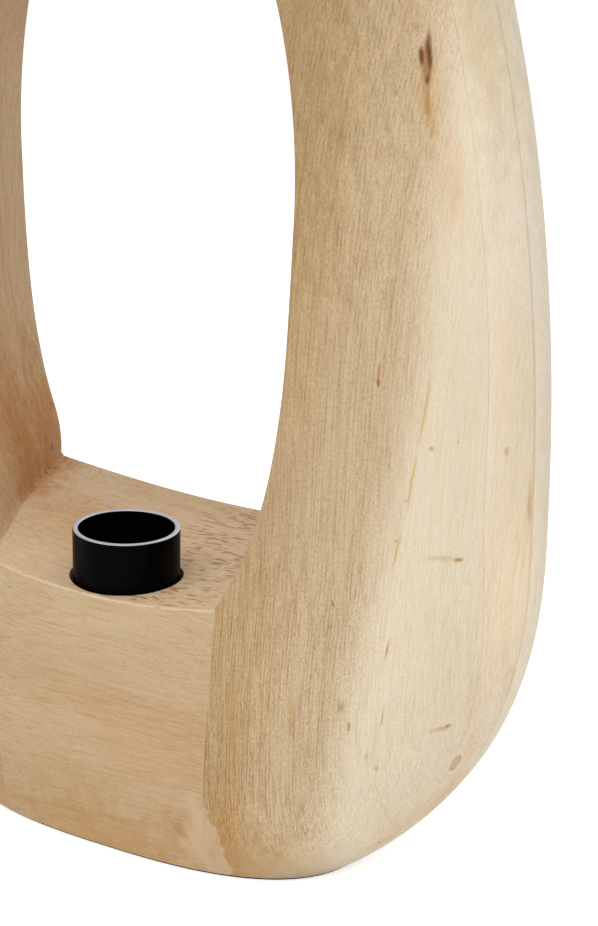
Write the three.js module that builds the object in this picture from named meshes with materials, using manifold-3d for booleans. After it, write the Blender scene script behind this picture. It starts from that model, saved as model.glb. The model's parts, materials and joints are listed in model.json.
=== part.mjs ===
// Table lamp: an upright wooden ring, laminated from three layers of boards, with a screw lampholder in a
// black cup that is let into the bar at its foot. Millimetres, +Z up, front towards -Y, floor at z = 0.
import * as THREE from "three";
import { mergeVertices } from "three/addons/utils/BufferGeometryUtils.js";
import Module from "manifold-3d";

const wasm = await Module();
wasm.setup();
const { clamp, lerp, smoothstep } = THREE.MathUtils;

// Outer form of the ring. Heights in these two groups start at the underside of the wood.
const RING_HEIGHT = 472;
const WIDEST_HALF_WIDTH = 151;
const WIDEST_HEIGHT = 132;
const FOOT_HALF_WIDTH = 89.6;
const BASE_HALF_DEPTH = 57; // upright front and back of the base
const ARM_BULGE = 7; // how much deeper the full form is higher up, before the opening is cut
const FULL_DEPTH_HEIGHT = 240; // where the form reaches that depth
const FOOT_TUCK = 5.5; // how far the foot is drawn in below the base's faces
const FOOT_ROUND_HEIGHT = 50;
const LOWER_OUTLINE_POWER = 2.14;
const FOOT_PLAN_POWER = 2.65; // fullness of the plan at the foot
const ARM_PLAN_POWER = 1.79; // and higher up, on the arms
const ARM_PLAN_HEIGHT = 160;
const CROWN_POWER = 3.3;

// Opening: an egg with its lower end cut off by the bar. It widens towards the back.
const BAR_HEIGHT = 104.8;
const BAR_DISH_RADIUS = 340;
const OPENING_HALF_WIDTH = 75.6; // at the front rim
const OPENING_WIDEST_HEIGHT = 247;
const CROWN_THICKNESS = 79; // wood above the opening, at its front rim
const OPENING_FALL = 169; // from the widest height to the egg's own lower end, inside the bar
const OPENING_FALL_POWER = 2.4;
const RIM_SETBACK = 6; // of the front rim at the widest height, behind the front of the base
const OPENING_FLARE = 0.268; // sideways per unit of depth

// Boards
const RAIL_HALF_LENGTH = 48.5;
const MIDDLE_BOARD = 43;
const DOWEL_RADIUS = 4;
const BASE_DOWEL_LENGTH = 44;
const TOP_DOWEL_LENGTH = 36;
const DOWEL_GAP = 0.3;
const BASE_DOWEL_HEIGHTS = [48, 84];
const TOP_DOWEL_SPACING = 20;

// Foot: felt, cover plate and wiring chamber
const FELT = 1.5;
const FELT_INSET = 1.2;
const COVER_THICKNESS = 3;
const COVER_GAP = 0.3;
const CHAMBER_HALF_WIDTH = 14;
const CHAMBER_HEIGHT = 28.5;
const CHAMBER_REAR_WALL = 15;
const COVER_LEDGE = 7;
const COVER_END_LEDGE = 3.5;
const COVER_SCREW_RADIUS = 1.5;
const COVER_SCREW_HEAD_RADIUS = 3;
const COVER_SCREW_LENGTH = 15;
const COVER_SCREW_SPACING = 62;
const SCREW_GAP = 0.3;

// Lampholder cup and its bore
const CUP_RADIUS = 20;
const CUP_WALL = 2;
const CUP_FLOOR = 2;
const CUP_EXPOSED = 19.2;
const BORE_GAP = 1.3;
const FRONT_WEB = 1.7; // wood left between the bore and the front of the base

// Lampholder for a 27 mm screw cap
const HOLDER_RADIUS = 16.5;
const HOLDER_RECESS = 13.5; // its rim lies this far below the cup's rim
const SKIRT_HEIGHT = 32;
const SKIRT_WALL = 2;
const SKIRT_LIP = 4;
const SKIRT_LIP_RADIUS = 13.7;
const CAP_HEIGHT = 33.7;
const CAP_FLOOR = 4;
const CAP_WALL = 4;
const CARRIER_THICKNESS = 10;
const PART_GAP = 0.3; // between pieces that fit in each other
const SHELL_RADIUS = 13.1; // middle of the wall, middle of the thread
const SHELL_WALL = 0.5;
const THREAD_DEPTH = 1;
const THREAD_PITCH = 3.62;
const CONTACT_RADIUS = 4;
const CONTACT_HEAD = 2;
const CONTACT_STEM_RADIUS = 1.8;
const CONTACT_CLIP_RADIUS = 3;
const CONTACT_CLIP = 1.2;
const SPRING_LENGTH = 5.4; // room between carrier and contact head
const SPRING_TURNS = 3.5;
const SPRING_WIRE = 0.7;
const SPRING_RADIUS = 2.75;
const TERMINAL_WIDTH = 5;
const TERMINAL_HEIGHT = 8;
const TERMINAL_OFFSET = 7.5;
const TERMINAL_SCREW_RADIUS = 1.2;
const TERMINAL_SCREW_HEAD_RADIUS = 2;
const TERMINAL_SCREW_HEAD = 1.3;

// Nipple, washer and nut
const NIPPLE_RADIUS = 5;
const NIPPLE_BORE = 3.4;
const NIPPLE_IN_HOLDER = 4; // stands above the cap's floor
const NIPPLE_TAIL = 2; // stands below the nut
const WASHER_RADIUS = 9;
const WASHER = 1.6;
const WASHER_CLEARANCE = 1; // to the front wall of the chamber
const NUT_ACROSS_FLATS = 14;
const NUT = 4.5;

// Wiring and cord inlet
const LEAD_RADIUS = 1.1;
const LEAD_SPACING = 3.2; // between the two leads in the nipple
const LEAD_SAG = 10; // below the nipple
const BLOCK_LENGTH = 14;
const BLOCK_WIDTH = 16;
const BLOCK_HEIGHT = 10;
const BLOCK_WAY_SPACING = 8;
const BLOCK_OFFSET = 40; // from the socket's axis to the block
const BLOCK_SCREW_RADIUS = 1.3;
const BLOCK_SCREW_HEAD_RADIUS = 2.6;
const BLOCK_SCREW_HEAD = 1.5;
const BLOCK_SCREW_GRIP = 8; // length in the wood
const BUSH_RADIUS = 6;
const BUSH_BORE = 3.7;
const BUSH_FLANGE_RADIUS = 8.5;
const BUSH_FLANGE = 2;
const BUSH_HEIGHT = 16; // above the floor
const BUSH_SEAT = 1.5; // depth of the flat seat in the curved back

// Fineness
const ROUND_FINE = 48;
const ROUND = 32;
const ROUND_SMALL = 16;
const SPRING_SIDES = 5;
const SPRING_STEPS_PER_TURN = 8;
const LEAD_SIDES = 8;
const LEAD_STEPS = 22;
const CUT_PAST = 2; // how far a cutter runs past the face that it opens

// Places worked out from the sizes, in the lamp's frame
const SEAM_Y = MIDDLE_BOARD / 2;
const RING_HALF_DEPTH = BASE_HALF_DEPTH + ARM_BULGE;
const OPENING_RIM_DEPTH = BASE_HALF_DEPTH - RIM_SETBACK;
const OPENING_TOP = RING_HEIGHT - CROWN_THICKNESS;
const OPENING_RISE = OPENING_TOP - OPENING_WIDEST_HEIGHT;
const BORE_RADIUS = CUP_RADIUS + BORE_GAP;
const SOCKET_Y = -(BASE_HALF_DEPTH - FRONT_WEB - BORE_RADIUS);
const BAR_Z = FELT + BAR_HEIGHT;
const CUP_RIM_Z = BAR_Z + CUP_EXPOSED;
const SKIRT_TOP_Z = CUP_RIM_Z - HOLDER_RECESS;
const CAP_TOP_Z = SKIRT_TOP_Z - SKIRT_HEIGHT;
const CAP_Z = CAP_TOP_Z - CAP_HEIGHT;
const BORE_Z = CAP_Z - CUP_FLOOR;
const CARRIER_Z = CAP_TOP_Z - CARRIER_THICKNESS;
const CHAMBER_Z = FELT + CHAMBER_HEIGHT;
const CHAMBER_FRONT_Y = SOCKET_Y - WASHER_RADIUS - WASHER_CLEARANCE;
const CHAMBER_BACK_Y = BASE_HALF_DEPTH - FOOT_TUCK - CHAMBER_REAR_WALL + COVER_END_LEDGE;
const COVER_HALF_WIDTH = CHAMBER_HALF_WIDTH + COVER_LEDGE;
const COVER_FRONT_Y = CHAMBER_FRONT_Y - COVER_END_LEDGE;
const COVER_BACK_Y = CHAMBER_BACK_Y + COVER_END_LEDGE;
const COVER_Z = FELT + COVER_THICKNESS;
const NIPPLE_BOTTOM_Z = CHAMBER_Z - WASHER - NUT - NIPPLE_TAIL;
const NIPPLE_TOP_Z = CAP_Z + CAP_FLOOR + NIPPLE_IN_HOLDER;
const BLOCK_Y = SOCKET_Y + BLOCK_OFFSET;

const finishes = {
  railWood: { color: 0xcfb088, roughness: 0.72, metalness: 0 },
  uprightWood: { color: 0xd2b180, roughness: 0.72, metalness: 0 },
  dowelWood: { color: 0xc9a878, roughness: 0.8, metalness: 0 },
  felt: { color: 0x2c2824, roughness: 1, metalness: 0 },
  fibreboard: { color: 0x7a5a3c, roughness: 0.9, metalness: 0 },
  blackSteel: { color: 0x101011, roughness: 0.42, metalness: 0.3 },
  blackPlastic: { color: 0x141414, roughness: 0.5, metalness: 0 },
  ceramic: { color: 0xe6e1d6, roughness: 0.3, metalness: 0 },
  brass: { color: 0xb99a4e, roughness: 0.35, metalness: 1 },
  steel: { color: 0xa9abad, roughness: 0.4, metalness: 1 },
  liveLead: { color: 0x5d3a1e, roughness: 0.5, metalness: 0 },
  neutralLead: { color: 0x2f5f9e, roughness: 0.5, metalness: 0 },
  clearPlastic: { color: 0xd9d8d0, roughness: 0.4, metalness: 0 },
};

const lamp = new THREE.Group();

function addPiece(name, finish, geometry) {
  const mesh = new THREE.Mesh(geometry, new THREE.MeshStandardMaterial(finishes[finish]));
  mesh.name = name;
  lamp.add(mesh);
}

// Closed meshes and cuts

function signedVolume(positions, triangles) {
  const corner = [0, 1, 2].map(() => new THREE.Vector3());
  let volume = 0;
  for (let t = 0; t < triangles.length; t += 3) {
    corner.forEach((c, k) => c.fromArray(positions, triangles[t + k] * 3));
    volume += corner[0].dot(corner[1].cross(corner[2])) / 6;
  }
  return volume;
}

// Merges shared vertices, drops triangles that shrank to a line, and turns the faces outwards.
function closedGeometry(geometry) {
  const bare = new THREE.BufferGeometry();
  bare.setAttribute("position", geometry.getAttribute("position"));
  bare.setIndex(geometry.index);
  const merged = mergeVertices(bare, 1e-3);
  const source = merged.index.array;
  const triangles = [];
  for (let t = 0; t < source.length; t += 3) {
    const [a, b, c] = source.slice(t, t + 3);
    if (a !== b && b !== c && c !== a) triangles.push(a, b, c);
  }
  if (signedVolume(merged.attributes.position.array, triangles) < 0) triangles.reverse();
  merged.setIndex(triangles);
  return merged;
}

function toSolid(geometry) {
  const closed = closedGeometry(geometry);
  const vertProperties = new Float32Array(closed.attributes.position.array);
  const triVerts = new Uint32Array(closed.index.array);
  return new wasm.Manifold(new wasm.Mesh({ numProp: 3, vertProperties, triVerts }));
}

function toGeometry(solid) {
  const mesh = solid.getMesh();
  const geometry = new THREE.BufferGeometry();
  geometry.setAttribute("position", new THREE.BufferAttribute(mesh.vertProperties, 3));
  geometry.setIndex(new THREE.BufferAttribute(mesh.triVerts, 1));
  return geometry;
}

function cut(geometry, cutters) {
  const solid = cutters.reduce((left, cutter) => left.subtract(toSolid(cutter)), toSolid(geometry));
  return toGeometry(solid);
}

function join(geometries) {
  const [first, ...others] = geometries.map(toSolid);
  return toGeometry(others.reduce((sum, other) => sum.add(other), first));
}

// The solid between two faces that share one grid. near and far give the point at row u, column v.
// A wrapped grid closes on itself along v.
function between(rows, columns, near, far, wrapped = false) {
  const positions = [];
  for (const face of [near, far])
    for (let u = 0; u < rows; u++) for (let v = 0; v < columns; v++) positions.push(...face(u, v));
  const at = (side, u, v) => side * rows * columns + u * columns + (v % columns);
  const triangles = [];
  const quad = (a, b, c, d) => triangles.push(a, b, c, a, c, d);
  const lastColumn = wrapped ? columns : columns - 1;
  for (let u = 0; u < rows - 1; u++)
    for (let v = 0; v < lastColumn; v++) {
      quad(at(0, u, v), at(0, u, v + 1), at(0, u + 1, v + 1), at(0, u + 1, v));
      quad(at(1, u, v), at(1, u + 1, v), at(1, u + 1, v + 1), at(1, u, v + 1));
    }
  for (let v = 0; v < lastColumn; v++) {
    quad(at(0, 0, v), at(1, 0, v), at(1, 0, v + 1), at(0, 0, v + 1));
    quad(at(0, rows - 1, v), at(0, rows - 1, v + 1), at(1, rows - 1, v + 1), at(1, rows - 1, v));
  }
  for (let u = 0; u < rows - 1 && !wrapped; u++) {
    quad(at(0, u, 0), at(0, u + 1, 0), at(1, u + 1, 0), at(1, u, 0));
    quad(at(0, u, lastColumn), at(1, u, lastColumn), at(1, u + 1, lastColumn), at(0, u + 1, lastColumn));
  }
  const geometry = new THREE.BufferGeometry();
  geometry.setAttribute("position", new THREE.Float32BufferAttribute(positions, 3));
  geometry.setIndex(triangles);
  return closedGeometry(geometry);
}

function box(lowX, highX, lowY, highY, lowZ, highZ) {
  const geometry = new THREE.BoxGeometry(highX - lowX, highY - lowY, highZ - lowZ);
  return geometry.translate((lowX + highX) / 2, (lowY + highY) / 2, (lowZ + highZ) / 2);
}

// Round bar along Z, X or Y between two places on that axis
function barZ(radius, x, y, lowZ, highZ, sides = ROUND_SMALL) {
  const geometry = new THREE.CylinderGeometry(radius, radius, highZ - lowZ, sides);
  return geometry.rotateX(Math.PI / 2).translate(x, y, (lowZ + highZ) / 2);
}

function barX(radius, lowX, highX, y, z, sides = ROUND_SMALL) {
  const geometry = new THREE.CylinderGeometry(radius, radius, Math.abs(highX - lowX), sides);
  return geometry.rotateZ(Math.PI / 2).translate((lowX + highX) / 2, y, z);
}

function barY(radius, x, lowY, highY, z, sides = ROUND_SMALL) {
  const geometry = new THREE.CylinderGeometry(radius, radius, highY - lowY, sides);
  return geometry.translate(x, (lowY + highY) / 2, z);
}

// Turned piece on the socket's axis from [radius, z] points of its closed section
function turned(section, sides = ROUND, x = 0, y = SOCKET_Y) {
  const points = section.map(([radius, z]) => new THREE.Vector2(radius, z));
  const onAxis = section[0][0] === 0;
  if (!onAxis) points.push(points[0].clone());
  const geometry = new THREE.LatheGeometry(points, sides);
  return closedGeometry(geometry.rotateX(Math.PI / 2).translate(x, y, 0));
}

// Form of the wood. h is a height above the underside of the wood.

// The value in [low, high] where a function that falls through zero crosses it
function crossing(low, high, falling) {
  let [a, b] = [low, high];
  for (let k = 0; k < 50; k++) {
    const middle = (a + b) / 2;
    if (falling(middle) > 0) a = middle;
    else b = middle;
  }
  return (a + b) / 2;
}

function roundOff(u, power) {
  return (1 - clamp(u, 0, 1) ** power) ** (1 / power);
}

function halfWidth(h) {
  if (h >= WIDEST_HEIGHT)
    return WIDEST_HALF_WIDTH * roundOff((h - WIDEST_HEIGHT) / (RING_HEIGHT - WIDEST_HEIGHT), 2);
  const reach = WIDEST_HEIGHT / roundOff(FOOT_HALF_WIDTH / WIDEST_HALF_WIDTH, LOWER_OUTLINE_POWER);
  return WIDEST_HALF_WIDTH * roundOff((WIDEST_HEIGHT - h) / reach, LOWER_OUTLINE_POWER);
}

function halfDepth(h) {
  const full = lerp(BASE_HALF_DEPTH, RING_HALF_DEPTH, smoothstep(h, BAR_HEIGHT, FULL_DEPTH_HEIGHT));
  const tuck = FOOT_TUCK * clamp(1 - h / FOOT_ROUND_HEIGHT, 0, 1) ** 2;
  return (full - tuck) * roundOff((h - WIDEST_HEIGHT) / (RING_HEIGHT - WIDEST_HEIGHT), CROWN_POWER);
}

function planPower(h) {
  return lerp(FOOT_PLAN_POWER, ARM_PLAN_POWER, smoothstep(h, 0, ARM_PLAN_HEIGHT));
}

function outerX(y, h) {
  return halfWidth(h) * roundOff(Math.abs(y) / halfDepth(h), planPower(h));
}

function outerY(x, h) {
  return halfDepth(h) * roundOff(Math.abs(x) / halfWidth(h), planPower(h));
}

function outerTop(x, y) {
  return crossing(OPENING_WIDEST_HEIGHT, RING_HEIGHT, (h) => outerX(y, h) - Math.abs(x));
}

function flare(y) {
  return OPENING_FLARE * (y + OPENING_RIM_DEPTH);
}

function openingHalfWidth(y, h) {
  const drop = OPENING_WIDEST_HEIGHT - h;
  if (drop > 0) return OPENING_HALF_WIDTH * roundOff(drop / OPENING_FALL, OPENING_FALL_POWER) + flare(y);
  return (OPENING_HALF_WIDTH + flare(y)) * roundOff(-drop / (OPENING_RISE + flare(y)), 2);
}

function openingTop(x, y) {
  const share = Math.abs(x) / (OPENING_HALF_WIDTH + flare(y));
  return OPENING_WIDEST_HEIGHT + (OPENING_RISE + flare(y)) * roundOff(share, 2);
}

function barTop(x) {
  return BAR_HEIGHT + x ** 2 / (2 * BAR_DISH_RADIUS);
}

// Inner side of an upright: the joint with the rails, or the wall of the opening
function innerX(y, h) {
  const dish = Math.sqrt(2 * BAR_DISH_RADIUS * Math.max(0, h - BAR_HEIGHT));
  return Math.max(RAIL_HALF_LENGTH, Math.min(openingHalfWidth(y, h), dish));
}

// Depth, front (-1) or back (1), where an upright's inner side meets its outer skin
function uprightRim(side, h) {
  return side * crossing(0, halfDepth(h), (y) => outerX(side * y, h) - innerX(side * y, h));
}

function railRim(side, x) {
  return side * crossing(0, RING_HALF_DEPTH, (y) => outerTop(x, side * y) - openingTop(x, side * y));
}

// Layers of boards: depth range and whether the front or back edge is a free rim
const layers = [
  { name: "front", low: -Infinity, high: -SEAM_Y, side: -1 },
  { name: "middle", low: -SEAM_Y, high: SEAM_Y, side: 0 },
  { name: "rear", low: SEAM_Y, high: Infinity, side: 1 },
];

// Shares from 0 to 1, drawn towards the end that a layer's rounded edge lies at
function spread(count, side) {
  return Array.from({ length: count }, (_, k) => {
    const t = k / (count - 1);
    if (side === 0) return t;
    return side > 0 ? Math.sin((t * Math.PI) / 2) : 1 - Math.sin(((1 - t) * Math.PI) / 2);
  });
}

function steps(low, high, count) {
  return Array.from({ length: count }, (_, k) => lerp(low, high, (k + 1) / count));
}

// Heights of the rows of an upright, ending in its tip. Rows crowd where the opening or the crown closes.
function uprightHeights(layer) {
  const seamTip = outerTop(RAIL_HALF_LENGTH, SEAM_Y);
  const tip = outerTop(RAIL_HALF_LENGTH, layer.side * SEAM_Y);
  const shelf = barTop(RAIL_HALF_LENGTH);
  const shelfEnd = barTop(OPENING_HALF_WIDTH + flare(0));
  const archFront = openingTop(RAIL_HALF_LENGTH, -OPENING_RIM_DEPTH);
  const archBack = openingTop(RAIL_HALF_LENGTH, OPENING_RIM_DEPTH);
  const closing = (low, high, count) => spread(count + 1, 1).slice(1).map((share) => lerp(low, high, share));
  return [
    0,
    ...steps(0, FOOT_ROUND_HEIGHT, 3),
    ...steps(FOOT_ROUND_HEIGHT, shelf, 2),
    ...steps(shelf, shelfEnd, 3),
    ...steps(shelfEnd, OPENING_WIDEST_HEIGHT, 5),
    ...closing(OPENING_WIDEST_HEIGHT, archFront, 5),
    ...steps(archFront, archBack, 3),
    ...closing(archBack, seamTip, 5),
    ...(layer.side === 0 ? closing(seamTip, tip, 4) : []),
  ];
}

function upright(side, layer) {
  const heights = uprightHeights(layer);
  const shares = spread(7, layer.side);
  const rows = heights.map((h, u) => {
    const tip = u === heights.length - 1;
    const low = tip ? layer.side * SEAM_Y : Math.max(layer.low, uprightRim(-1, h));
    const high = tip ? layer.side * SEAM_Y : Math.min(layer.high, uprightRim(1, h));
    return shares.map((share) => {
      const y = lerp(low, high, share);
      const rim = tip || y <= uprightRim(-1, h) || y >= uprightRim(1, h);
      const inner = innerX(y, h);
      return { y, z: FELT + h, inner: side * inner, outer: side * (rim ? inner : outerX(y, h)) };
    });
  });
  const inner = (u, v) => [rows[u][v].inner, rows[u][v].y, rows[u][v].z];
  const outer = (u, v) => [rows[u][v].outer, rows[u][v].y, rows[u][v].z];
  return between(rows.length, shares.length, inner, outer);
}

function railPlaces() {
  return [-RAIL_HALF_LENGTH, ...steps(-RAIL_HALF_LENGTH, RAIL_HALF_LENGTH, 8)];
}

function baseRail(layer) {
  const places = railPlaces();
  const shares = [0, 0.15, 0.3, 0.48, 0.74, 1];
  const height = (u, v) => barTop(places[u]) * shares[v];
  const face = (limit, side) => (u, v) => {
    const y = Number.isFinite(limit) ? limit : side * outerY(places[u], height(u, v));
    return [places[u], y, FELT + height(u, v)];
  };
  return between(places.length, shares.length, face(layer.low, -1), face(layer.high, 1));
}

function topRail(layer) {
  const places = railPlaces();
  const shares = spread(7, layer.side);
  const rows = places.map((x) => {
    const low = Math.max(layer.low, railRim(-1, x));
    const high = Math.min(layer.high, railRim(1, x));
    return shares.map((share) => {
      const y = lerp(low, high, share);
      const rim = y <= railRim(-1, x) || y >= railRim(1, x);
      const under = openingTop(x, y);
      return { x, y, under: FELT + under, over: FELT + (rim ? under : outerTop(x, y)) };
    });
  });
  const under = (u, v) => [rows[u][v].x, rows[u][v].y, rows[u][v].under];
  const over = (u, v) => [rows[u][v].x, rows[u][v].y, rows[u][v].over];
  return between(places.length, shares.length, under, over);
}

// Dowels: places on the right-hand joints, mirrored for the left

function dowelPlaces() {
  const topHeight = FELT + OPENING_TOP + (RING_HEIGHT - OPENING_TOP) / 3;
  const base = BASE_DOWEL_HEIGHTS.map((z, k) => ({ row: "base", k, y: 0, z, length: BASE_DOWEL_LENGTH }));
  const top = [-0.5, 0.5].map((t, k) => {
    return { row: "top", k, y: t * TOP_DOWEL_SPACING, z: topHeight, length: TOP_DOWEL_LENGTH };
  });
  return [...base, ...top];
}

function dowelBar(place, side, gap) {
  const centre = side * RAIL_HALF_LENGTH;
  const half = place.length / 2 + gap;
  return barX(DOWEL_RADIUS + gap, centre - half, centre + half, place.y, place.z);
}

function dowelHoles(row, sides) {
  const chosen = dowelPlaces().filter((place) => place.row === row);
  return sides.flatMap((side) => chosen.map((place) => dowelBar(place, side, DOWEL_GAP)));
}

// Cuts in the base rails

function coverScrewPlaces() {
  const x = CHAMBER_HALF_WIDTH + COVER_LEDGE / 2;
  const middleY = (CHAMBER_FRONT_Y + CHAMBER_BACK_Y) / 2;
  return [-1, 1].flatMap((sideX) =>
    [-1, 1].map((sideY) => ({ x: sideX * x, y: middleY + (sideY * COVER_SCREW_SPACING) / 2 })),
  );
}

function baseCuts() {
  const bore = barZ(BORE_RADIUS, 0, SOCKET_Y, BORE_Z, BAR_Z + 2 * CUT_PAST, ROUND);
  const nippleHole = barZ(NIPPLE_RADIUS + PART_GAP, 0, SOCKET_Y, CHAMBER_Z - CUT_PAST, BORE_Z + CUT_PAST);
  const [halfX, gapX] = [CHAMBER_HALF_WIDTH, COVER_HALF_WIDTH + COVER_GAP];
  const chamber = box(-halfX, halfX, CHAMBER_FRONT_Y, CHAMBER_BACK_Y, FELT - CUT_PAST, CHAMBER_Z);
  const [lowY, highY] = [COVER_FRONT_Y - COVER_GAP, COVER_BACK_Y + COVER_GAP];
  const recess = box(-gapX, gapX, lowY, highY, FELT - CUT_PAST, COVER_Z);
  const pilots = coverScrewPlaces().map(({ x, y }) => {
    const top = FELT + COVER_SCREW_LENGTH + SCREW_GAP;
    return barZ(COVER_SCREW_RADIUS + SCREW_GAP, x, y, FELT, top, ROUND_SMALL / 2);
  });
  const blockPilotTop = CHAMBER_Z + BLOCK_SCREW_GRIP + SCREW_GAP;
  const blockPilotRadius = BLOCK_SCREW_RADIUS + SCREW_GAP;
  const blockPilot = barZ(blockPilotRadius, 0, BLOCK_Y, CHAMBER_Z - CUT_PAST, blockPilotTop, ROUND_SMALL / 2);
  return [bore, nippleHole, chamber, recess, ...pilots, blockPilot];
}

function bushSeatY() {
  return outerY(BUSH_FLANGE_RADIUS, BUSH_HEIGHT - FELT) - BUSH_SEAT;
}

function bushCuts() {
  const past = BASE_HALF_DEPTH + CUT_PAST;
  const hole = barY(BUSH_RADIUS + PART_GAP, 0, CHAMBER_BACK_Y - CUT_PAST, past, BUSH_HEIGHT);
  const seat = barY(BUSH_FLANGE_RADIUS + PART_GAP, 0, bushSeatY(), past, BUSH_HEIGHT, ROUND);
  return [hole, seat];
}

// Felt under the foot: the foot's plan, drawn in by a small inset
function felt() {
  const half = ROUND;
  const [reachX, reachY] = [halfWidth(0) - FELT_INSET, halfDepth(0) - FELT_INSET];
  const edge = Array.from({ length: 2 * half }, (_, k) => {
    const angle = (k / half) * Math.PI;
    const bend = (value) => Math.sign(value) * Math.abs(value) ** (2 / planPower(0));
    return new THREE.Vector2(reachX * bend(Math.cos(angle)), reachY * bend(Math.sin(angle)));
  });
  return new THREE.ExtrudeGeometry(new THREE.Shape(edge), { depth: FELT, bevelEnabled: false });
}

function coverPlate() {
  const plate = box(-COVER_HALF_WIDTH, COVER_HALF_WIDTH, COVER_FRONT_Y, COVER_BACK_Y, FELT, COVER_Z);
  const holes = coverScrewPlaces().map(({ x, y }) => coverScrew(x, y, SCREW_GAP));
  return cut(plate, holes);
}

// Countersunk screw. A gap makes it the cutter of its own hole.
function coverScrew(x, y, gap = 0) {
  const [shank, head] = [COVER_SCREW_RADIUS + gap, COVER_SCREW_HEAD_RADIUS + gap];
  const faceZ = gap ? FELT - CUT_PAST : FELT + SCREW_GAP;
  const coneZ = FELT + SCREW_GAP;
  const neckZ = coneZ + COVER_SCREW_HEAD_RADIUS - COVER_SCREW_RADIUS;
  const tipZ = FELT + COVER_SCREW_LENGTH;
  const shaft = [[shank, neckZ], [shank, tipZ - shank], [0, tipZ]];
  const section = [[0, faceZ], [head, faceZ], ...(gap ? [[head, coneZ]] : []), ...shaft];
  return turned(section, ROUND_SMALL, x, y);
}

// Lampholder

function cup() {
  const [outer, inner] = [CUP_RADIUS, CUP_RADIUS - CUP_WALL];
  const hole = NIPPLE_RADIUS + PART_GAP;
  const round = CUP_WALL / 4;
  const foot = [[hole, BORE_Z], [outer, BORE_Z]];
  const rimOut = [[outer, CUP_RIM_Z - round], [outer - round, CUP_RIM_Z]];
  const rimIn = [[inner + round, CUP_RIM_Z], [inner, CUP_RIM_Z - round]];
  return turned([...foot, ...rimOut, ...rimIn, [inner, CAP_Z], [hole, CAP_Z]], ROUND_FINE);
}

function holderCap() {
  const hole = NIPPLE_RADIUS + PART_GAP;
  const well = HOLDER_RADIUS - CAP_WALL;
  const seat = HOLDER_RADIUS - SKIRT_WALL;
  const floor = CAP_Z + CAP_FLOOR;
  const outside = [[hole, CAP_Z], [HOLDER_RADIUS, CAP_Z], [HOLDER_RADIUS, CAP_TOP_Z], [seat, CAP_TOP_Z]];
  return turned([...outside, [seat, CARRIER_Z], [well, CARRIER_Z], [well, floor], [hole, floor]]);
}

function holderSkirt() {
  const inner = HOLDER_RADIUS - SKIRT_WALL;
  const lipZ = SKIRT_TOP_Z - SKIRT_LIP;
  const outside = [[inner, CAP_TOP_Z], [HOLDER_RADIUS, CAP_TOP_Z], [HOLDER_RADIUS, SKIRT_TOP_Z]];
  return turned([...outside, [SKIRT_LIP_RADIUS, SKIRT_TOP_Z], [SKIRT_LIP_RADIUS, lipZ], [inner, lipZ]]);
}

function contactCarrier() {
  const radius = HOLDER_RADIUS - SKIRT_WALL - PART_GAP;
  const hole = CONTACT_STEM_RADIUS + PART_GAP;
  return turned([[hole, CARRIER_Z], [radius, CARRIER_Z], [radius, CAP_TOP_Z], [hole, CAP_TOP_Z]]);
}

// Thin sleeve with a rolled screw thread that fades out at both ends
function screwShell() {
  const top = SKIRT_TOP_Z - SKIRT_LIP - PART_GAP;
  const [rows, columns] = [20, 16];
  const face = (wallSide) => (u, v) => {
    const t = u / (rows - 1);
    const z = lerp(CAP_TOP_Z, top, t);
    const angle = (v / columns) * 2 * Math.PI;
    const fade = smoothstep(Math.min(t, 1 - t), 0, 0.1);
    const wave = Math.cos((2 * Math.PI * z) / THREAD_PITCH - angle);
    const radius = SHELL_RADIUS + (wallSide * SHELL_WALL) / 2 + (fade * wave * THREAD_DEPTH) / 2;
    return [radius * Math.cos(angle), SOCKET_Y + radius * Math.sin(angle), z];
  };
  return between(rows, columns, face(-1), face(1), true);
}

function centreContact() {
  const underHead = CAP_TOP_Z + SPRING_LENGTH;
  const headTop = underHead + CONTACT_HEAD;
  const clipTop = CARRIER_Z - PART_GAP;
  const clipZ = clipTop - CONTACT_CLIP;
  const [head, stem, clip] = [CONTACT_RADIUS, CONTACT_STEM_RADIUS, CONTACT_CLIP_RADIUS];
  const tail = [[0, clipZ], [clip, clipZ], [clip, clipTop], [stem, clipTop]];
  const crown = [[head, headTop - CONTACT_HEAD / 2], [head - CONTACT_HEAD / 2, headTop], [0, headTop]];
  return turned([...tail, [stem, underHead], [head, underHead], ...crown], ROUND_SMALL);
}

class Helix extends THREE.Curve {
  getPoint(t, target = new THREE.Vector3()) {
    const angle = t * SPRING_TURNS * 2 * Math.PI;
    const margin = SPRING_WIRE / 2 + PART_GAP;
    const z = CAP_TOP_Z + lerp(margin, SPRING_LENGTH - margin, t);
    return target.set(SPRING_RADIUS * Math.cos(angle), SOCKET_Y + SPRING_RADIUS * Math.sin(angle), z);
  }
}

// Least free gap between turns, measured on points half a turn or more apart
function leastTurnGap(points, perTurn) {
  let least = Infinity;
  points.forEach((p, i) => {
    for (let j = i + Math.ceil(perTurn / 2); j < points.length; j++)
      least = Math.min(least, p.distanceTo(points[j]));
  });
  return least - SPRING_WIRE;
}

function roundSection(radius, sides) {
  const corners = Array.from({ length: sides }, (_, k) => (k / sides) * 2 * Math.PI);
  return new THREE.Shape(corners.map((a) => new THREE.Vector2(radius * Math.cos(a), radius * Math.sin(a))));
}

function tubeAlong(path, radius, sides, count) {
  const options = { steps: count, bevelEnabled: false, extrudePath: path };
  return new THREE.ExtrudeGeometry(roundSection(radius, sides), options);
}

function contactSpring() {
  const path = new Helix();
  const count = Math.round(SPRING_TURNS * SPRING_STEPS_PER_TURN);
  const gap = leastTurnGap(path.getPoints(count), SPRING_STEPS_PER_TURN);
  console.log("least gap between spring turns, mm:", gap.toFixed(2));
  return tubeAlong(path, SPRING_WIRE / 2, SPRING_SIDES, count);
}

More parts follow.
